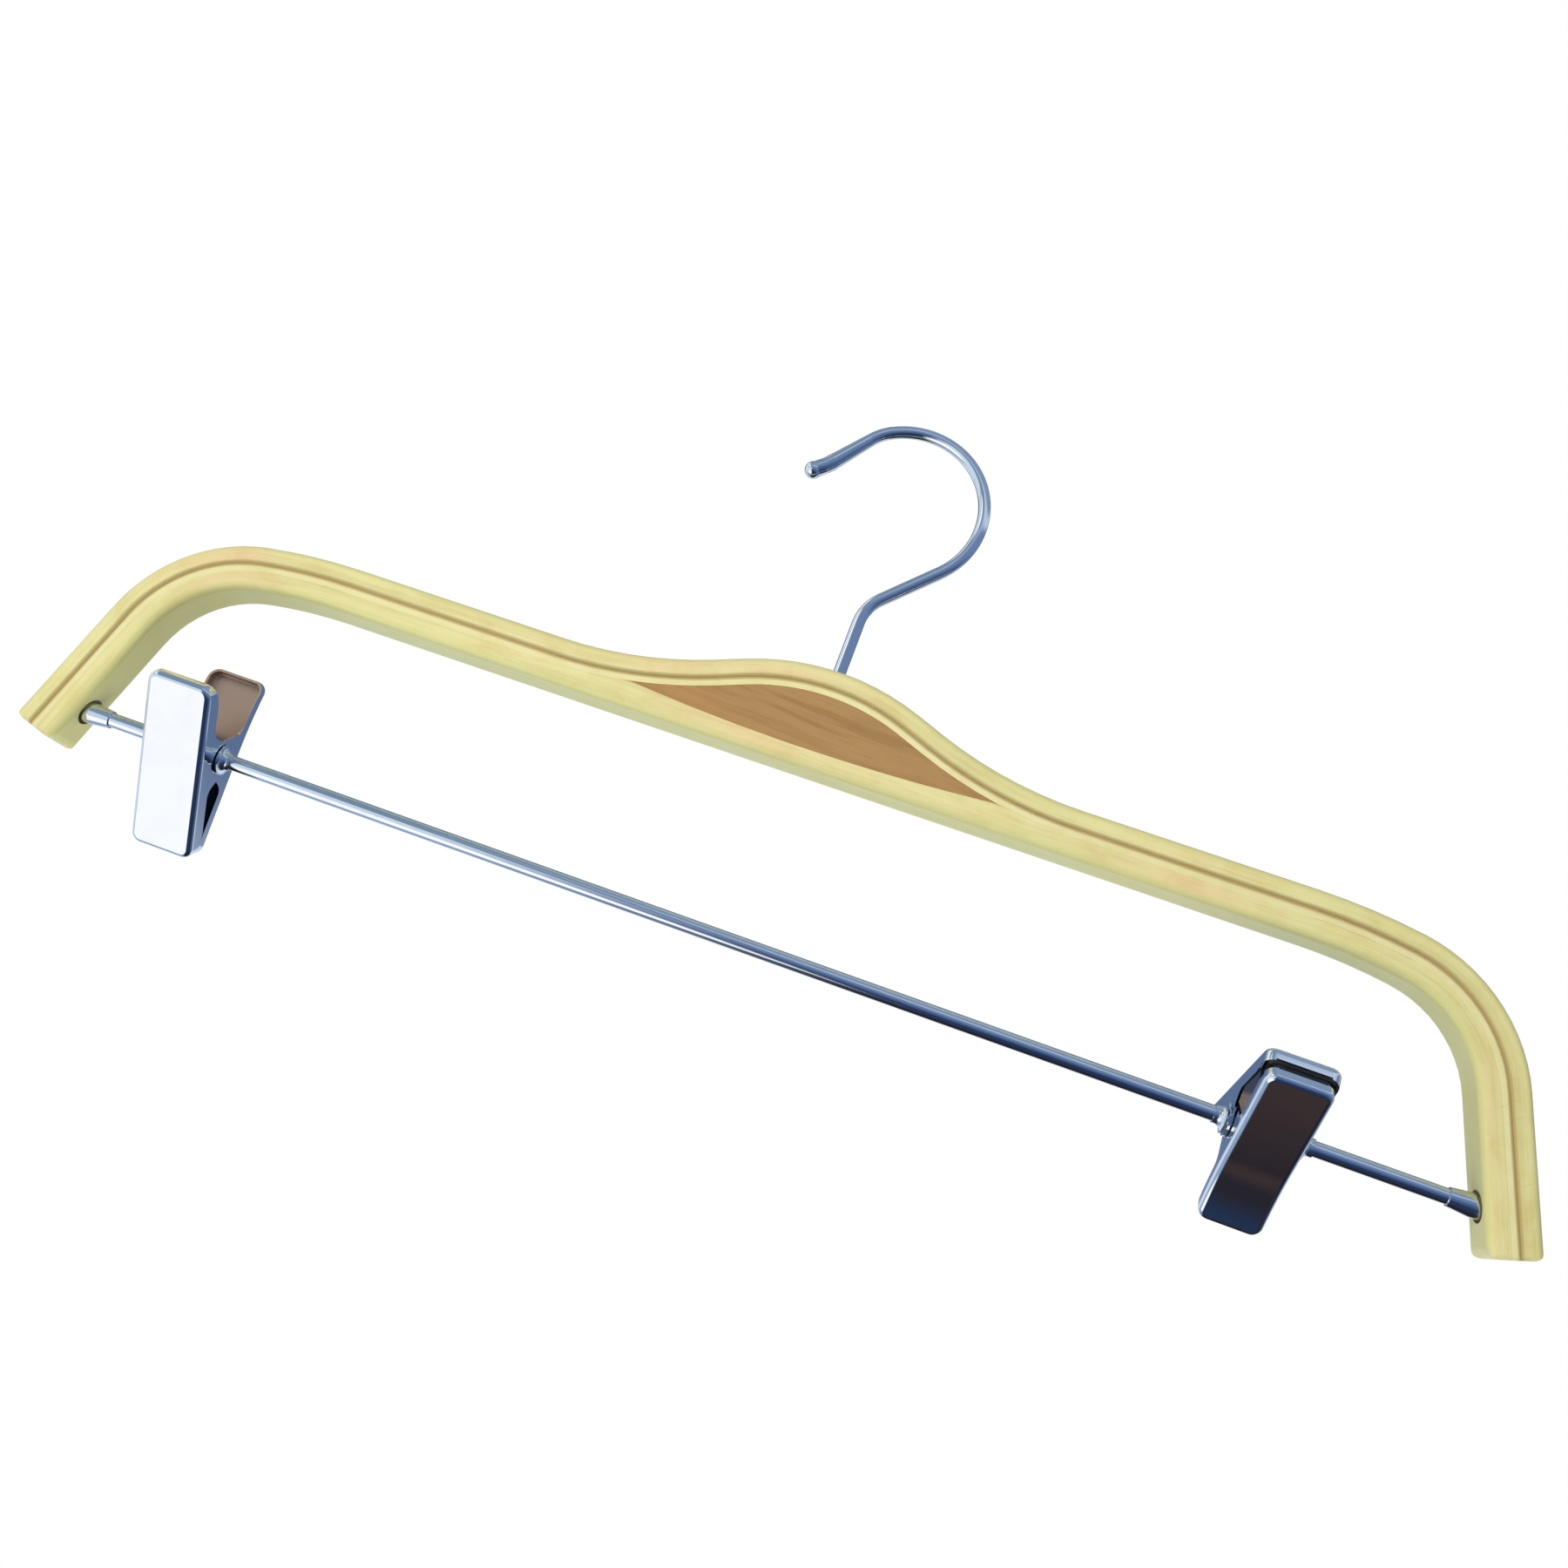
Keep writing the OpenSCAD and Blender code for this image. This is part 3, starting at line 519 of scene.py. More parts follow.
def strip_wood(name, light, dark, patch, look):
    """Lacquered pale wood of one strip, darker in the groove along the glue line, with painted shade on
    its rounded borders and underside and inside the seats of the ferrules.
    """
    material, graph, shader = new_material(name)
    vector, along, above = strip_vector(graph)
    grain = graph.use("wood grain", Vector=vector, Light=opaque(light), Dark=opaque(dark),
                      Patch=opaque(patch), Bands=look.band_scale, Fibres=look.fibre_scale,
                      Waviness=0.25, Band_Depth=0.55)
    crossing = graph.place(vector, turn=(0, 0, CROSS_SCRATCH_TURN))
    scratches = graph.use("fine scratches", Vector=crossing, Density=HAIRLINES, Amount=1.0)
    wear = graph.fade(graph.math("ABSOLUTE", along), ELBOW_FROM, ELBOW_TO, 0.1, 0.4)
    worn = graph.product(scratches[0], wear)
    color = graph.mix(worn, grain["Color"], opaque(patch), "MULTIPLY")
    clouds = graph.use("handling marks", Size=120.0,
                       Vector=graph.place(vector, scale=(0.7, 1, 1), shift=(2, 1, 0)))
    color = graph.mix(graph.product(clouds[0], 0.3), color, opaque(patch), "MULTIPLY")
    # Painted shade on the rounded top and lower borders and on the underside, mixed in at three
    # quarters
    border_shade_mask = graph.math(
        "MAXIMUM", graph.fade(above, look.top_edge - SHADE_BORDER_BLUR, look.top_edge),
        graph.fade(above, SHADE_BORDER_BLUR - look.under_edge, -look.under_edge))
    color = graph.mix(graph.product(border_shade_mask, 0.75), color, opaque(look.border_shade))
    near = graph.fade(graph.math("ABSOLUTE", above), look.groove_half * 1.3, look.groove_half * 0.2)
    color = graph.mix(graph.product(near, 0.9), color, opaque(look.groove))
    # Painted shade inside the seats of the ferrules, a dark ring round each ferrule
    color = graph.mix(seat_shade_mask(graph, above), color, SEAT_SHADE)
    smudge = graph.use("handling marks", Vector=vector, Size=70.0)
    rough = graph.fade(smudge[0], 0.0, 1.0, look.wood_roughness, look.wood_roughness + 0.12)
    height = graph.math("ADD", grain["Height"], graph.product(worn, -0.6))
    graph.fill(shader, Base_Color=color, Roughness=rough, Specular_IOR_Level=0.4,
               Coat_Weight=0.35, Coat_Roughness=0.22,
               Normal=graph.bump(height, 0.25, GRAIN_RELIEF))
    return material


def insert_wood(name, look):
    """Brown filler with a wavy, fine grain, lacquered like the rest."""
    material, graph, shader = new_material(name)
    place = graph.coordinates()
    turned = graph.place(place, turn=(0, math.radians(-2), 0))
    grain = graph.use("wood grain", Vector=turned, Light=opaque(look.insert_light),
                      Dark=opaque(look.insert_dark), Patch=INSERT_PATCH, Bands=420.0,
                      Fibres=1700.0, Waviness=0.6, Band_Depth=0.6)
    smudge = graph.use("handling marks", Vector=place, Size=90.0)
    graph.fill(shader, Base_Color=grain["Color"], Specular_IOR_Level=0.35, Coat_Weight=0.1,
               Roughness=graph.fade(smudge[0], 0.0, 1.0, 0.38, 0.5), Coat_Roughness=0.3,
               Normal=graph.bump(grain["Height"], 0.2, GRAIN_RELIEF))
    return material


# The metal and the pads


def plated_metal(name, color, roughness, scratch_amount, smudge_amount):
    """Bright plated metal with hairline scratches and faint handling marks."""
    material, graph, shader = new_material(name)
    place = graph.coordinates()
    scratches = graph.use("fine scratches", Vector=place, Density=HAIRLINES,
                          Amount=scratch_amount)
    smudge = graph.use("handling marks", Vector=place, Size=110.0)
    marks = graph.product(smudge[0], smudge_amount)
    rough = graph.math("ADD", graph.product(marks, 0.12), graph.product(scratches[0], 0.35))
    graph.fill(shader, Metallic=1.0, Base_Color=graph.mix(marks, opaque(color), darker(color, 0.82)),
               Roughness=graph.math("ADD", rough, roughness, clamp=True),
               Normal=graph.bump(scratches[0], 0.08, SCRATCH_RELIEF))
    return material


def jaw_plating(name, clip_x, swing, metal):
    """Bright plating outside; inside the handle it is thin, dull and scratched by the tool; inside the
    mouth it is painted dark blue shade.
    """
    material, graph, shader = new_material(name)
    place = graph.coordinates()
    offset = graph.vector("SUBTRACT", place, (clip_x, 0, BAR_Z))
    facing = graph.vector("DOT_PRODUCT", offset, graph.coordinates("Normal"))
    inner = graph.fade(facing, INSIDE_BLUR, -INSIDE_BLUR)
    upward = graph.vector("DOT_PRODUCT", offset, (0, -math.sin(swing), math.cos(swing)))
    handle = graph.product(inner, graph.fade(upward, 0.0, HANDLE_BLUR))
    hairlines = graph.use("fine scratches", Vector=graph.place(place, turn=(0.5, 0, 0.4)),
                          Density=HAIRLINES, Amount=0.7)
    tool_marks = graph.use("fine scratches", Vector=graph.place(place, turn=(0.2, 0.6, 0.1)),
                           Density=TOOL_MARKS, Amount=1.0)
    smudge = graph.use("handling marks", Vector=place, Size=120.0)
    bright = graph.mix(graph.product(smudge[0], 0.2), opaque(metal.chrome),
                       darker(metal.chrome, 0.85))
    scratched = graph.mix(tool_marks[0], opaque(metal.inside), TOOL_SHINE)
    # Painted shade: the inside of the mouth is dark blue, while the inside of the handle keeps its
    # thin, scratched plating
    dull = graph.mix(handle, PAINTED_MOUTH_SHADE, scratched)
    outside_rough = graph.math("ADD", graph.product(hairlines[0], 0.3),
                               metal.chrome_roughness * 0.5)
    lines = graph.math("ADD", hairlines[0], graph.product(inner, tool_marks[0]))
    graph.fill(shader, Metallic=graph.fade(handle, 0.0, 1.0, 1.0, 0.5),
               Base_Color=graph.mix(inner, bright, dull),
               Roughness=graph.fade(inner, 0.0, 1.0, outside_rough, 0.34),
               Normal=graph.bump(lines, 0.08, SCRATCH_RELIEF))
    return material


def soft_rubber(name):
    """Dull black rubber with a fine sandy surface and a little dust."""
    material, graph, shader = new_material(name)
    place = graph.coordinates()
    sand = graph.noise(place, scale=2600.0, detail=3.0, roughness=0.6)
    dust = graph.use("handling marks", Vector=place, Size=160.0)
    graph.fill(shader, Base_Color=graph.mix(graph.product(dust[0], 0.35), RUBBER, RUBBER_DUST),
               Roughness=graph.fade(sand, 0.2, 0.8, 0.6, 0.85),
               Normal=graph.bump(sand, 0.3, GRAIN_RELIEF))
    return material


# Settings


class HangerWood(bpy.types.PropertyGroup):
    """Colours and grain of the wood"""

    light: bpy.props.FloatVectorProperty(
        name="Light wood", description="Colour of the pale wood between its growth bands",
        subtype="COLOR", size=3, default=srgb(228, 220, 154)[:3])
    dark: bpy.props.FloatVectorProperty(
        name="Dark wood", description="Colour of the growth bands of the pale wood",
        subtype="COLOR", size=3, default=srgb(208, 198, 130)[:3])
    patch: bpy.props.FloatVectorProperty(
        name="Patches", description="Warmer colour of the broad patches",
        subtype="COLOR", size=3, default=srgb(232, 202, 148)[:3])
    # Partly the cream colour of the thin middle strip, partly a painted highlight below the groove
    middle_cream_and_highlight: bpy.props.FloatVectorProperty(
        name="Middle strip", description="Colour of the thin strip below the groove",
        subtype="COLOR", size=3, default=srgb(232, 222, 166)[:3])
    groove: bpy.props.FloatVectorProperty(
        name="Groove", description="Colour of the wood in the groove",
        subtype="COLOR", size=3, default=srgb(178, 154, 94)[:3])
    # Painted shade: a darker, greener colour laid on the rounded borders and the underside of the
    # strips
    border_shade: bpy.props.FloatVectorProperty(
        name="Borders", description="Greener colour of the rounded borders and the underside",
        subtype="COLOR", size=3, default=srgb(206, 204, 132)[:3])
    top_edge: bpy.props.FloatProperty(
        name="Top edge", description="Height of the upper surface above the glue line",
        default=5.8 * MM, unit="LENGTH")
    under_edge: bpy.props.FloatProperty(
        name="Lower edge", description="Depth of the lower surface below the glue line",
        default=7.9 * MM, unit="LENGTH")
    insert_light: bpy.props.FloatVectorProperty(
        name="Light insert", description="Light colour of the brown insert",
        subtype="COLOR", size=3, default=srgb(172, 132, 78)[:3])
    insert_dark: bpy.props.FloatVectorProperty(
        name="Dark insert", description="Dark colour of the brown insert",
        subtype="COLOR", size=3, default=srgb(148, 108, 58)[:3])
    band_scale: bpy.props.FloatProperty(
        name="Growth bands", description="Scale of the growth bands, per metre",
        default=240.0, min=10.0)
    fibre_scale: bpy.props.FloatProperty(
        name="Fibres", description="Scale of the fine fibres, per metre",
        default=1500.0, min=100.0)
    groove_half: bpy.props.FloatProperty(
        name="Groove half width", description="Half the width of the groove along the glue line",
        default=1.0 * MM, unit="LENGTH")
    wood_roughness: bpy.props.FloatProperty(
        name="Roughness", description="Roughness of the lacquered wood", subtype="FACTOR",
        default=0.42, min=0.0, max=1.0)


class HangerMetal(bpy.types.PropertyGroup):
    """Colours and polish of the metal"""

    chrome: bpy.props.FloatVectorProperty(
        name="Chrome", description="Colour of the bright plating",
        subtype="COLOR", size=3, default=(0.84, 0.87, 0.92))
    inside: bpy.props.FloatVectorProperty(
        name="Inside of the jaws", description="Colour of the thin plating inside the jaws",
        subtype="COLOR", size=3, default=srgb(178, 152, 132)[:3])
    steel: bpy.props.FloatVectorProperty(
        name="Steel", description="Colour of the dull steel of nut and springs",
        subtype="COLOR", size=3, default=(0.42, 0.45, 0.5))
    brass: bpy.props.FloatVectorProperty(
        name="Brass", description="Colour of the bush",
        subtype="COLOR", size=3, default=(0.72, 0.52, 0.2))
    chrome_roughness: bpy.props.FloatProperty(
        name="Roughness", description="Roughness of the bright plating", subtype="FACTOR",
        default=0.09, min=0.0, max=1.0)


class HangerSpring(bpy.types.PropertyGroup):
    """Sizes of the torsion springs"""

    wire: bpy.props.FloatProperty(
        name="Wire", description="Thickness of the spring wire", default=1.0 * MM, unit="LENGTH")
    radius: bpy.props.FloatProperty(
        name="Radius", description="Radius of the coil to the middle of its wire",
        default=3.75 * MM, unit="LENGTH")
    turns: bpy.props.IntProperty(
        name="Turns", description="Whole turns of the coil", default=3, min=1)
    pitch: bpy.props.FloatProperty(
        name="Pitch", description="Distance between two turns", default=1.6 * MM, unit="LENGTH")
    reach: bpy.props.FloatProperty(
        name="Leg reach", description="Height above the bar that the legs reach to",
        default=0.0, unit="LENGTH")


class HangerJaws(bpy.types.PropertyGroup):
    """Sizes of the pressed jaws"""

    corner: bpy.props.FloatProperty(
        name="Corner", description="Rounding of the jaw corners seen from the front",
        default=3.1 * MM, unit="LENGTH")
    fold: bpy.props.FloatProperty(
        name="Fold", description="Outer radius of the folds round the face",
        default=1.7 * MM, unit="LENGTH")
    outer_wall: bpy.props.FloatProperty(
        name="Outer wall", description="Depth of the side walls of the outer jaw",
        default=5.5 * MM, unit="LENGTH")
    inner_wall: bpy.props.FloatProperty(
        name="Inner wall", description="Depth of the side walls of the inner jaw",
        default=4 * MM, unit="LENGTH")
    flare: bpy.props.FloatProperty(
        name="Flare", description="Distance from the bar where the walls flare into the ears",
        default=8.5 * MM, unit="LENGTH")
    taper: bpy.props.FloatProperty(
        name="Taper", description="Length of the taper towards the lips",
        default=6 * MM, unit="LENGTH")
    handle_bow: bpy.props.FloatProperty(
        name="Bow", description="How far the end of the inner jaw's handle is bent outwards",
        default=2.6 * MM, unit="LENGTH")
    ear_turn: bpy.props.FloatProperty(
        name="Ear arc", description="Half the angle of the round end of an ear",
        subtype="ANGLE", unit="ROTATION", default=math.radians(72))


class HangerStage(bpy.types.PropertyGroup):
    """Camera, floor and lights"""

    camera_at: bpy.props.FloatVectorProperty(
        name="Camera", description="Place of the camera", subtype="TRANSLATION",
        unit="LENGTH", size=3, default=(0.0573, -0.4170, -0.21725))
    azimuth: bpy.props.FloatProperty(
        name="Azimuth", description="Turn of the camera round the hanger",
        subtype="ANGLE", unit="ROTATION", default=math.radians(8.3))
    elevation: bpy.props.FloatProperty(
        name="Elevation", description="Height angle of the camera, negative from below",
        subtype="ANGLE", unit="ROTATION", default=math.radians(-14.0))
    roll: bpy.props.FloatProperty(
        name="Roll", description="Turn of the picture",
        subtype="ANGLE", unit="ROTATION", default=math.radians(20.8))
    floor_z: bpy.props.FloatProperty(
        name="Floor", description="Height of the floor", default=-0.7, unit="LENGTH")
    floor_radius: bpy.props.FloatProperty(
        name="Floor radius", description="Radius of the round floor", default=0.9, unit="LENGTH")
    tent_radius: bpy.props.FloatProperty(
        name="Tent radius", description="Radius of the tent that the metal mirrors",
        default=3.0, unit="LENGTH")
    key_power: bpy.props.FloatProperty(
        name="Key light", description="Power of the large soft light",
        default=11.0, subtype="POWER", unit="POWER")
    fill_power: bpy.props.FloatProperty(
        name="Fill light", description="Power of the light from the left",
        default=1.2, subtype="POWER", unit="POWER")
    back_power: bpy.props.FloatProperty(
        name="Back light", description="Power of the light from behind",
        default=9.0, subtype="POWER", unit="POWER")
    bounce_power: bpy.props.FloatProperty(
        name="Bounce", description="Power of the cool light thrown up by the floor",
        default=3.0, subtype="POWER", unit="POWER")
    sky: bpy.props.FloatProperty(
        name="Sky", description="Strength of the even light from all round",
        default=0.34, min=0.0)


# Pieces made here


def edge_uses(mesh):
    """How many faces each edge belongs to."""
    count = Counter(key for face in mesh.polygons for key in face.edge_keys)
    return [count[edge.key] for edge in mesh.edges]


def wind_spring(name, size):
    """Round wire section turned along the coil, then drawn out into the two straight legs."""
    half = JAW_SPREAD / 2
    clear = size.wire / 2 + LEG_GAP
    leg_y = (JAW_FACE - JAW_SHEET - clear) / math.cos(half) + size.reach * math.tan(half)
    far = math.hypot(leg_y, size.reach)
    start = math.atan2(size.reach, leg_y) - math.acos(size.radius / far)
    leg = math.sqrt(far * far - size.radius * size.radius)
    turn = 2 * math.pi * size.turns + math.pi + 2 * start
    length = turn / (2 * math.pi) * size.pitch
    deselect()
    bpy.ops.mesh.primitive_circle_add(vertices=WIRE_SIDES, radius=size.wire / 2,
                                      fill_type="NOTHING", location=(0, size.radius, 0))
    spring = bpy.context.object
    spring.name = name
    apply_transform()
    screw = spring.modifiers.new("coil", "SCREW")
    screw.axis = "X"
    screw.angle = turn
    screw.screw_offset = length
    screw.steps = screw.render_steps = COIL_STEPS * size.turns
    screw.use_merge_vertices = False
    bpy.ops.object.modifier_apply(modifier="coil")
    for sign, end_x, angle in ((-1, 0.0, 0.0), (1, length, turn)):
        hub = Vector((end_x, size.radius * math.cos(angle), size.radius * math.sin(angle)))
        uses = edge_uses(spring.data)
        select_edges(spring, lambda index, a, b: uses[index] == 1
                     and ((a + b) / 2 - hub).length < size.wire)
        way = Vector((0, -math.sin(angle), math.cos(angle))) * sign * leg
        bpy.ops.mesh.extrude_edges_move(TRANSFORM_OT_translate={"value": tuple(way)})
        bpy.ops.mesh.edge_face_add()
        bpy.ops.object.mode_set(mode="OBJECT")
    face_outwards(spring, merge=True)
    bpy.ops.object.shade_smooth_by_angle(angle=SPRING_SMOOTH)
    spring.matrix_world = (Matrix.Rotation(math.pi - start, 4, "X")
                           @ Matrix.Translation((-length / 2, 0, 0)))
    apply_transform()
    spring.scale = (-1, 1, 1)
    apply_transform()
    face_outwards(spring, merge=False)
    return spring


def jaw_block(width, wall, size):
    """Block with the rounded corners and folds of a jaw, smaller all round by the wall."""
    low = Vector((wall - width / 2, wall - JAW_FACE, wall - MOUTH_REACH))
    high = Vector((width / 2 - wall, JAW_FACE + wall, HANDLE_REACH - wall))
    deselect()
    bpy.ops.mesh.primitive_cube_add(size=1, location=(low + high) / 2, scale=high - low)
    block = bpy.context.object
    apply_transform()
    bevel_edges(block, lambda a, b: abs(a.x - b.x) < NEAR and abs(a.z - b.z) < NEAR,
                size.corner - wall, CORNER_STEPS)
    bevel_edges(block, lambda a, b: max(a.y, b.y) < low.y + NEAR, size.fold - wall, FOLD_STEPS)
    return block


def jaw_profile(wall, size):
    """Side view of a jaw as a thick slab: lip, side wall and flared ears."""
    top, foot = HANDLE_REACH + JAW_SHEET, -MOUTH_REACH - JAW_SHEET
    turns = (size.ear_turn * (step / EAR_STEPS - 1) for step in range(2 * EAR_STEPS + 1))
    arc = [(JAW_FACE + EAR_RADIUS * math.cos(a), EAR_RADIUS * math.sin(a)) for a in turns]
    outline = [(PROFILE_FRONT, foot), (LIP_DEPTH, foot), (wall, foot + size.taper),
               (wall, -size.flare), *arc, (wall, size.flare), (wall, top - size.taper),
               (LIP_DEPTH, top), (PROFILE_FRONT, top)]
    deselect()
    bpy.ops.mesh.primitive_circle_add(vertices=len(outline), radius=MM, fill_type="NGON")
    profile = bpy.context.object
    for vertex, (depth, height) in zip(profile.data.vertices, outline):
        vertex.co = (-OUTER_JAW_WIDTH, depth - JAW_FACE, height)
    bpy.ops.object.mode_set(mode="EDIT")
    bpy.ops.mesh.select_all(action="SELECT")
    bpy.ops.mesh.extrude_region_move(
        TRANSFORM_OT_translate={"value": (2 * OUTER_JAW_WIDTH, 0, 0)})
    face_outwards(profile, merge=False)
    bends = [(wall - JAW_FACE, z)
             for z in (-size.flare, size.flare, foot + size.taper, top - size.taper)]
    bevel_edges(profile, lambda a, b: abs(a.y - b.y) < NEAR and abs(a.z - b.z) < NEAR and any(
        abs(a.y - y) < NEAR and abs(a.z - z) < NEAR for y, z in bends), WALL_ROUNDING, FOLD_STEPS)
    return profile


def bow_handle(jaw, out):
    """Bows the handle of a jaw outwards, more and more towards its end."""
    length = HANDLE_REACH - BOW_START
    pick(jaw)
    bpy.ops.object.mode_set(mode="EDIT")
    for step in range(BOW_SLICES):
        height = BOW_START + length * step / BOW_SLICES
        bpy.ops.mesh.select_all(action="SELECT")
        bpy.ops.mesh.bisect(plane_co=(0, 0, height), plane_no=(0, 0, 1))
    bpy.ops.object.mode_set(mode="OBJECT")
    for vertex in jaw.data.vertices:
        share = max(0.0, vertex.co.z - BOW_START) / length
        vertex.co.y -= out * share * share


def press_jaw(name, width, wall, bow, size):
    """Jaw of folded sheet with its face to the front and the bar at the origin."""
    jaw = jaw_block(width, 0, size)
    jaw.name = name
    cut(jaw, jaw_block(width, JAW_SHEET, size), "DIFFERENCE")
    profile = jaw_profile(wall, size)
    deselect()
    bpy.ops.mesh.primitive_cylinder_add(vertices=HOLE_SIDES, radius=EAR_HOLE,
                                        depth=4 * OUTER_JAW_WIDTH, rotation=(0, math.pi / 2, 0))
    cut(profile, bpy.context.object, "DIFFERENCE")
    cut(jaw, profile, "INTERSECT")
    if bow:
        bow_handle(jaw, bow)
    face_outwards(jaw, merge=True)
    bpy.ops.object.shade_smooth_by_angle(angle=JAW_SMOOTH)
    even = jaw.modifiers.new("even", "WEIGHTED_NORMAL")
    even.keep_sharp = True
    even.weight = 100
    bpy.ops.object.modifier_apply(modifier="even")
    return jaw


# The stage


def pale_floor(stage):
    """Round pale floor that fades into the white background at its rim."""
    deselect()
    bpy.ops.mesh.primitive_circle_add(vertices=96, radius=stage.floor_radius, fill_type="NGON",
                                      location=(0, 0, stage.floor_z))
    floor = bpy.context.object
    floor.name = "studio_floor"
    material, graph, shader = new_material("pale floor")
    place = graph.coordinates()
    shade = graph.fade(graph.noise(place, scale=3.0), 0.3, 0.7, 0.86, 0.9)
    rim = graph.fade(graph.vector("LENGTH", place), stage.floor_radius * 0.5, stage.floor_radius,
                     1.0, 0.0)
    graph.fill(shader, Base_Color=shade, Roughness=0.7, Alpha=rim)
    floor.data.materials.append(material)
    floor.visible_glossy = False
    return floor


def tent_light(graph):
    """Light of the tent in every direction: cloths, two strip lamps and two white patches."""
    way = graph.vector("NORMALIZE", graph.coordinates())
    side, back, height = graph.split(way)
    front = graph.mix(graph.fade(height, -0.35, 0.2), FRONT_LOW, FRONT_HIGH)
    front = graph.mix(graph.fade(height, 0.55, 0.75), front, FRONT_TOP)
    front = graph.mix(graph.band(height, (0.4, 0.52), (0.68, 0.56)), front, FRONT_LAMP)
    left = graph.mix(graph.fade(height, 0.0, 0.2), LEFT_LOW, LEFT_HIGH)
    front = graph.mix(graph.fade(side, -0.1, -0.4), front, left)
    behind = graph.mix(graph.fade(height, -0.1, 0.15), BACK_LOW, BACK_HIGH)
    tone = graph.mix(graph.fade(back, 0.45, 0.8), front, behind)
    shade = graph.mix(graph.fade(back, 0.02, 0.12), BELOW_MIDDLE, BELOW_BACK)
    shade = graph.mix(graph.fade(back, 0.02, -0.06), shade, BELOW_NEAR)
    shade = graph.mix(graph.fade(back, -0.1, -0.3), shade, BELOW_FRONT)
    below = graph.mix(graph.fade(side, -0.4, 0.0), BELOW_LEFT, shade)
    tone = graph.mix(graph.fade(height, -0.45, -0.62), tone, below)
    upright = graph.product(graph.band(back, (-0.3, -0.15), (0.35, 0.2)),
                            graph.fade(side, -0.3, -0.5),
                            graph.band(height, (-0.1, 0.05), (0.85, 0.7)))
    tone = graph.mix(upright, tone, UPRIGHT_LAMP)
    for towards, full, faded, light in WHITE_PATCHES:
        facing = graph.vector("DOT_PRODUCT", way, Vector(towards).normalized())
        tone = graph.mix(graph.fade(facing, faded, full), tone, light)
    return tone


def reflection_tent(stage):
    """Blue-grey tent round the stage, seen only in the plated metal."""
    deselect()
    bpy.ops.mesh.primitive_uv_sphere_add(segments=48, ring_count=24, radius=stage.tent_radius,
                                         location=(0, 0, BAR_Z))
    tent = bpy.context.object
    tent.name = "reflection_tent"
    bpy.ops.object.shade_smooth()
    material = bpy.data.materials.new("tent cloth")
    material.use_nodes = True
    graph = Graph(material.node_tree)
    glow = graph.add("ShaderNodeEmission")
    graph.join(tent_light(graph), glow.inputs["Color"])
    graph.join(glow.outputs[0], graph.add("ShaderNodeOutputMaterial").inputs[0])
    tent.data.materials.append(material)
    tent.visible_camera = tent.visible_diffuse = tent.visible_shadow = False
    tent.visible_transmission = tent.visible_volume_scatter = False
    return tent


def light_world(strength):
    """White behind the object, softer even light on it."""
    world = bpy.data.worlds.new("studio")
    bpy.context.scene.world = world
    world.use_nodes = True
    graph = Graph(world.node_tree)
    path = graph.add("ShaderNodeLightPath")
    seen = graph.math("MAXIMUM", path.outputs["Is Camera Ray"], path.outputs["Is Glossy Ray"])
    background = graph.add("ShaderNodeBackground")
    background.inputs["Color"].default_value = (1, 1, 1, 1)
    graph.join(graph.fade(seen, 0.0, 1.0, strength, 1.0), background.inputs["Strength"])
    graph.join(background.outputs[0], graph.add("ShaderNodeOutputWorld").inputs[0])


def add_light(name, power, at, towards, size, color):
    """Square soft lamp that isn't mirrored in the metal."""
    data = bpy.data.lights.new(name, "AREA")
    data.energy = power
    data.size = size
    data.color = color
    lamp = bpy.data.objects.new(name, data)
    bpy.context.scene.collection.objects.link(lamp)
    lamp.location = at
    lamp.rotation_euler = (Vector(towards) - Vector(at)).to_track_quat("-Z", "Y").to_euler()
    lamp.visible_glossy = False


def add_camera(stage):
    """Camera of the photograph: a 36 mm lens on a 36 mm square, rolled with the hanger."""
    data = bpy.data.cameras.new("camera")
    data.lens = LENS_MM
    data.sensor_width = SENSOR_MM
    data.clip_start, data.clip_end = CLIP_START, CLIP_END
    camera = bpy.data.objects.new("camera", data)
    bpy.context.scene.collection.objects.link(camera)
    turn, lift, roll = stage.azimuth, stage.elevation, stage.roll
    right = Vector((math.cos(turn), math.sin(turn), 0))
    forward = Vector((-math.sin(turn) * math.cos(lift), math.cos(turn) * math.cos(lift),
                      -math.sin(lift)))
    up = right.cross(forward)
    picture_right = right * math.cos(roll) + up * math.sin(roll)
    picture_up = up * math.cos(roll) - right * math.sin(roll)
    basis = Matrix((picture_right, picture_up, -forward)).transposed().to_4x4()
    camera.matrix_world = Matrix.Translation(stage.camera_at) @ basis
    return camera


# Steps


class HANGER_OT_strips(bpy.types.Operator):
    """Lay the grain of the three wooden strips along their bends"""

    bl_idname = "hanger.strips"
    bl_label = "Wooden strips"

    def execute(self, context):
        look = context.scene.hanger_wood
        pale = strip_wood("pale lamination", look.light, look.dark, look.patch, look)
        # The thin middle strip: its own cream colour with a painted highlight laid on it
        cream_and_painted_highlight = strip_wood("cream lamination", look.middle_cream_and_highlight, look.light, look.light, look)
        for node, name, material, slot, place in (
                ("top_strip", "upper_lamination", pale, "outer_wood", strip_place),
                ("middle_strip", "thin_lamination", cream_and_painted_highlight, "middle_wood", strip_place),
                ("bottom_strip", "lower_lamination", pale, "inner_wood", straight_place)):
            strip = copy_of(node, name)
            lay_grain(strip, place)
            settle(strip, material, "frame", slot, node)
        return {"FINISHED"}


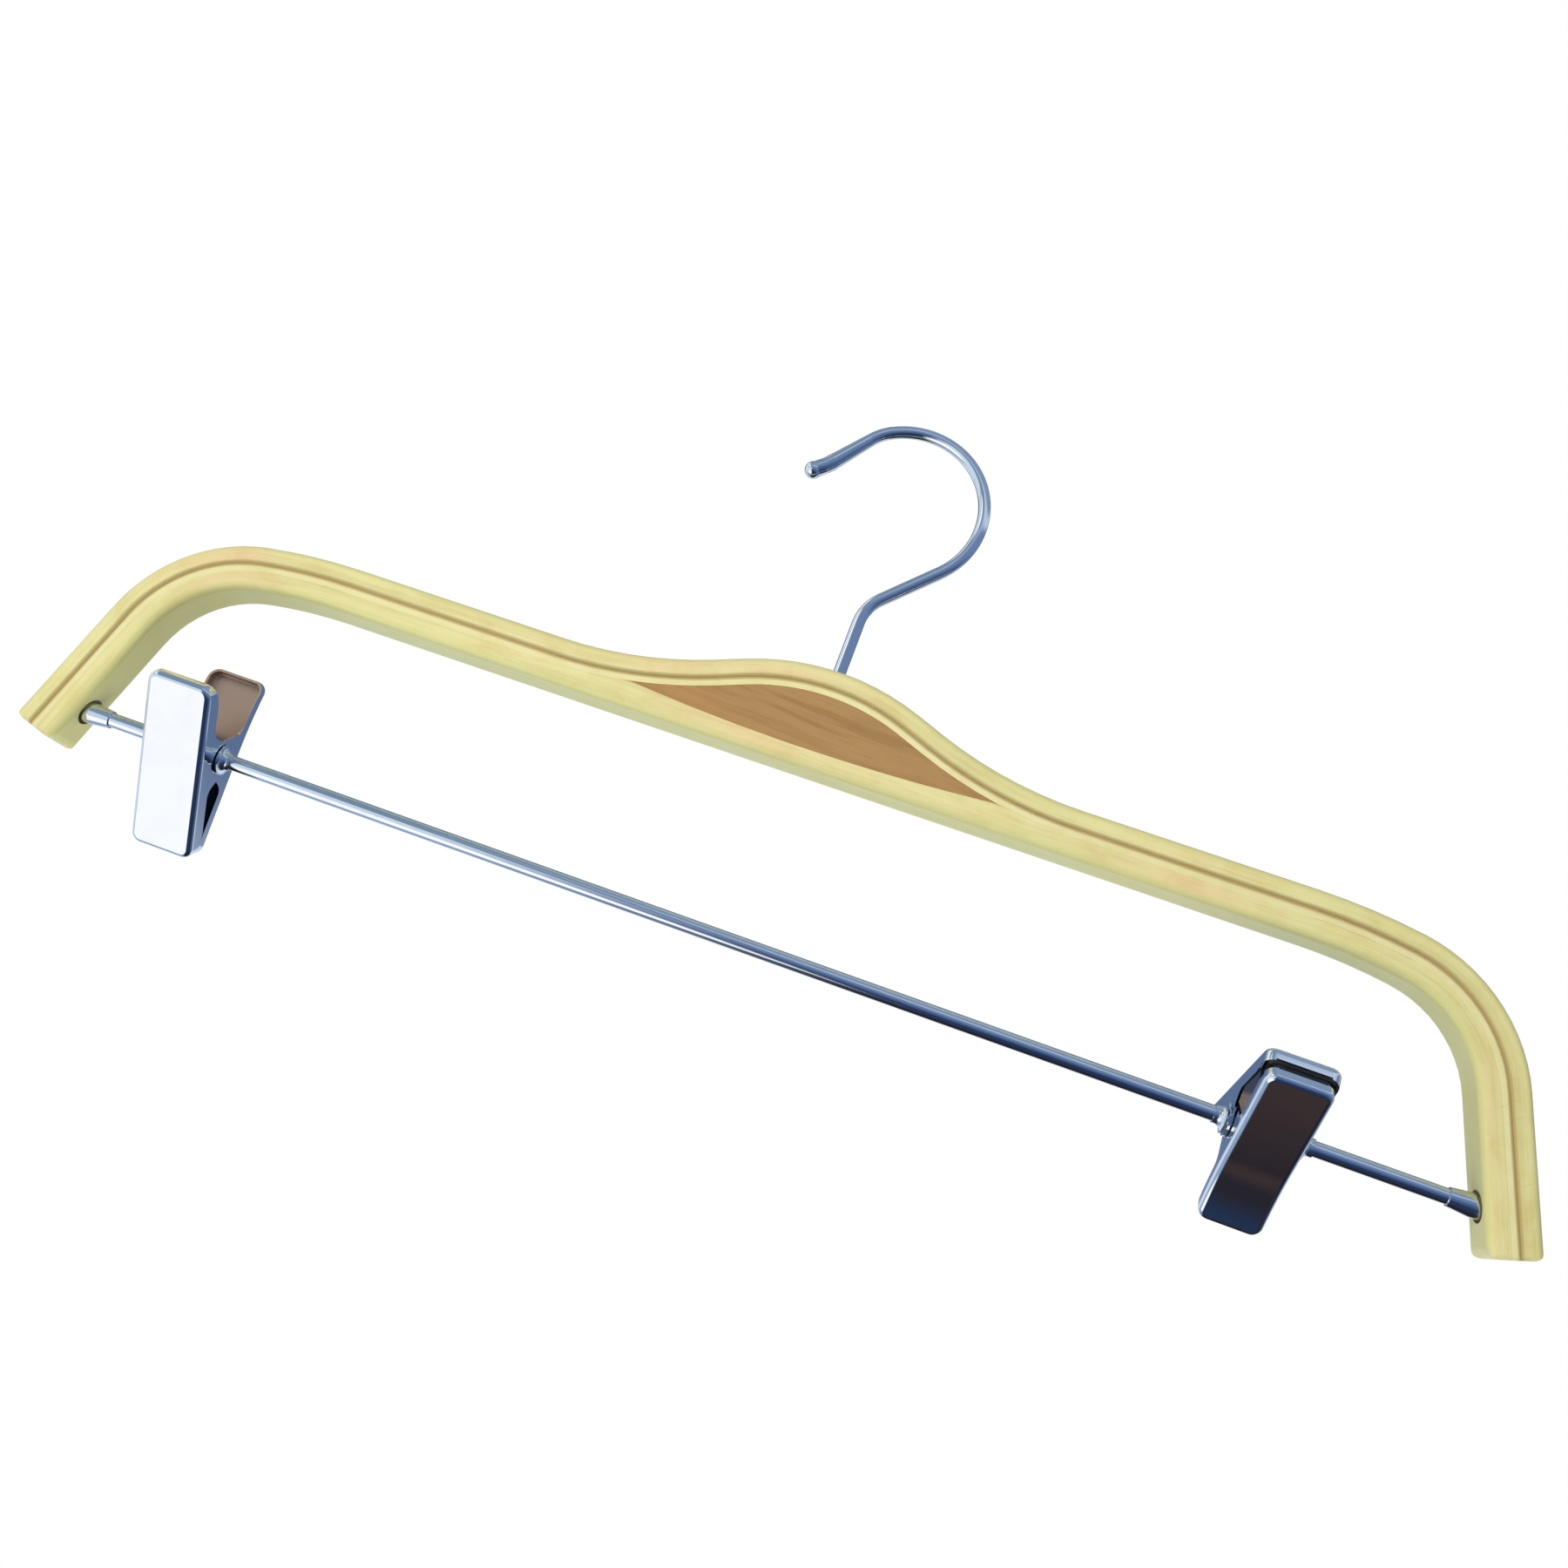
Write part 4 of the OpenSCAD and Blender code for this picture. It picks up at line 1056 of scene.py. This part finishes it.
class HANGER_OT_springs(bpy.types.Operator):
    """Wind the torsion springs of the clips"""

    bl_idname = "hanger.springs"
    bl_label = "Clip springs"

    def execute(self, context):
        metal = context.scene.hanger_metal
        steel = plated_metal("spring wire", metal.steel, 0.28, 0.6, 0.5)
        for side, clip_x, swing in CLIPS:
            spring = wind_spring(side + "_torsion_spring", context.scene.hanger_spring)
            clip = Matrix.Translation((clip_x, 0, BAR_Z)) @ Matrix.Rotation(swing, 4, "X")
            spring.matrix_world = clip @ spring.matrix_world
            settle(spring, steel, side + "_grip", "spring_metal", side + "_clip_spring")
        return {"FINISHED"}


class HANGER_OT_jaws(bpy.types.Operator):
    """Press the four sheet jaws of the clips"""

    bl_idname = "hanger.jaws"
    bl_label = "Clip jaws"

    def execute(self, context):
        size = context.scene.hanger_jaws
        lean = Matrix.Rotation(JAW_SPREAD / 2, 4, "X")
        for side, clip_x, swing in CLIPS:
            plating = jaw_plating(side + " jaw plating", clip_x, swing,
                                  context.scene.hanger_metal)
            clip = Matrix.Translation((clip_x, 0, BAR_Z)) @ Matrix.Rotation(swing, 4, "X")
            front = press_jaw(side + "_wide_jaw", OUTER_JAW_WIDTH, size.outer_wall, 0.0, size)
            front.matrix_world = clip @ lean
            settle(front, plating, side + "_lever", "jaw_metal", side + "_outer_jaw")
            back = press_jaw(side + "_narrow_jaw", INNER_JAW_WIDTH, size.inner_wall,
                             size.handle_bow, size)
            back.matrix_world = clip @ lean.inverted() @ Matrix.Rotation(math.pi, 4, "Z")
            settle(back, plating, side + "_grip", "jaw_metal", side + "_inner_jaw")
        return {"FINISHED"}


class HANGER_OT_finishes(bpy.types.Operator):
    """Give the insert, the metal pieces and the pads their finishes"""

    bl_idname = "hanger.finishes"
    bl_label = "Finishes"

    def execute(self, context):
        metal = context.scene.hanger_metal
        chrome, polish = metal.chrome, metal.chrome_roughness
        finishes = {
            "walnut_insert": insert_wood("brown insert", context.scene.hanger_wood),
            "hook": plated_metal("hook plating", chrome, polish, 0.4, 0.3),
            "hook_bush": plated_metal("bush brass", metal.brass, 0.25, 0.3, 0.6),
            "hook_nut": plated_metal("nut steel", metal.steel, 0.32, 0.3, 0.6),
            "trouser_bar": plated_metal("bar plating", chrome, polish, 0.5, 0.3),
        }
        ferrule = plated_metal("ferrule plating", chrome, polish + 0.04, 0.4, 0.4)
        sleeve = plated_metal("sleeve plating", chrome, polish + 0.06, 0.3, 0.5)
        rubber = soft_rubber("pad rubber")
        for side in ("left", "right"):
            finishes[side + "_ferrule"] = ferrule
            finishes[side + "_clip_sleeve"] = sleeve
            finishes[side + "_outer_pad"] = rubber
            finishes[side + "_inner_pad"] = rubber
        for node, material in finishes.items():
            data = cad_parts[node].data
            data.materials.clear()
            data.materials.append(material)
        return {"FINISHED"}


class HANGER_OT_stage(bpy.types.Operator):
    """Set up the floor, the soft lights and the camera"""

    bl_idname = "hanger.stage"
    bl_label = "Stage"

    def execute(self, context):
        stage = context.scene.hanger_stage
        pale_floor(stage)
        reflection_tent(stage)
        light_world(stage.sky)
        for name, at, towards, size, color in LAMPS:
            add_light(name, getattr(stage, name + "_power"), at, towards, size, color)
        context.scene.camera = add_camera(stage)
        context.scene.view_settings.view_transform = "Standard"
        return {"FINISHED"}


STEPS = (HANGER_OT_strips, HANGER_OT_springs, HANGER_OT_jaws, HANGER_OT_finishes, HANGER_OT_stage)
SETTINGS = {"hanger_wood": HangerWood, "hanger_metal": HangerMetal, "hanger_spring": HangerSpring,
            "hanger_jaws": HangerJaws, "hanger_stage": HangerStage}


class HANGER_PT_panel(bpy.types.Panel):
    """Lists the steps and the settings of the hanger"""

    bl_label = "Trouser hanger"
    bl_idname = "HANGER_PT_panel"
    bl_space_type = "VIEW_3D"
    bl_region_type = "UI"
    bl_category = "Hanger"

    def draw(self, context):
        for step in STEPS:
            self.layout.operator(step.bl_idname)
        for name, kind in SETTINGS.items():
            box = self.layout.box()
            for key in kind.__annotations__:
                box.prop(getattr(context.scene, name), key)


def register():
    for name, settings in SETTINGS.items():
        bpy.utils.register_class(settings)
        setattr(bpy.types.Scene, name, bpy.props.PointerProperty(type=settings))
    for step in STEPS:
        bpy.utils.register_class(step)
    bpy.utils.register_class(HANGER_PT_panel)


def unregister():
    bpy.utils.unregister_class(HANGER_PT_panel)
    for step in reversed(STEPS):
        bpy.utils.unregister_class(step)
    for name, settings in SETTINGS.items():
        delattr(bpy.types.Scene, name)
        bpy.utils.unregister_class(settings)


def main():
    register()
    bpy.ops.hanger.strips()
    bpy.ops.hanger.springs()
    bpy.ops.hanger.jaws()
    bpy.ops.hanger.finishes()
    bpy.ops.hanger.stage()


if __name__ == "__main__":
    main()
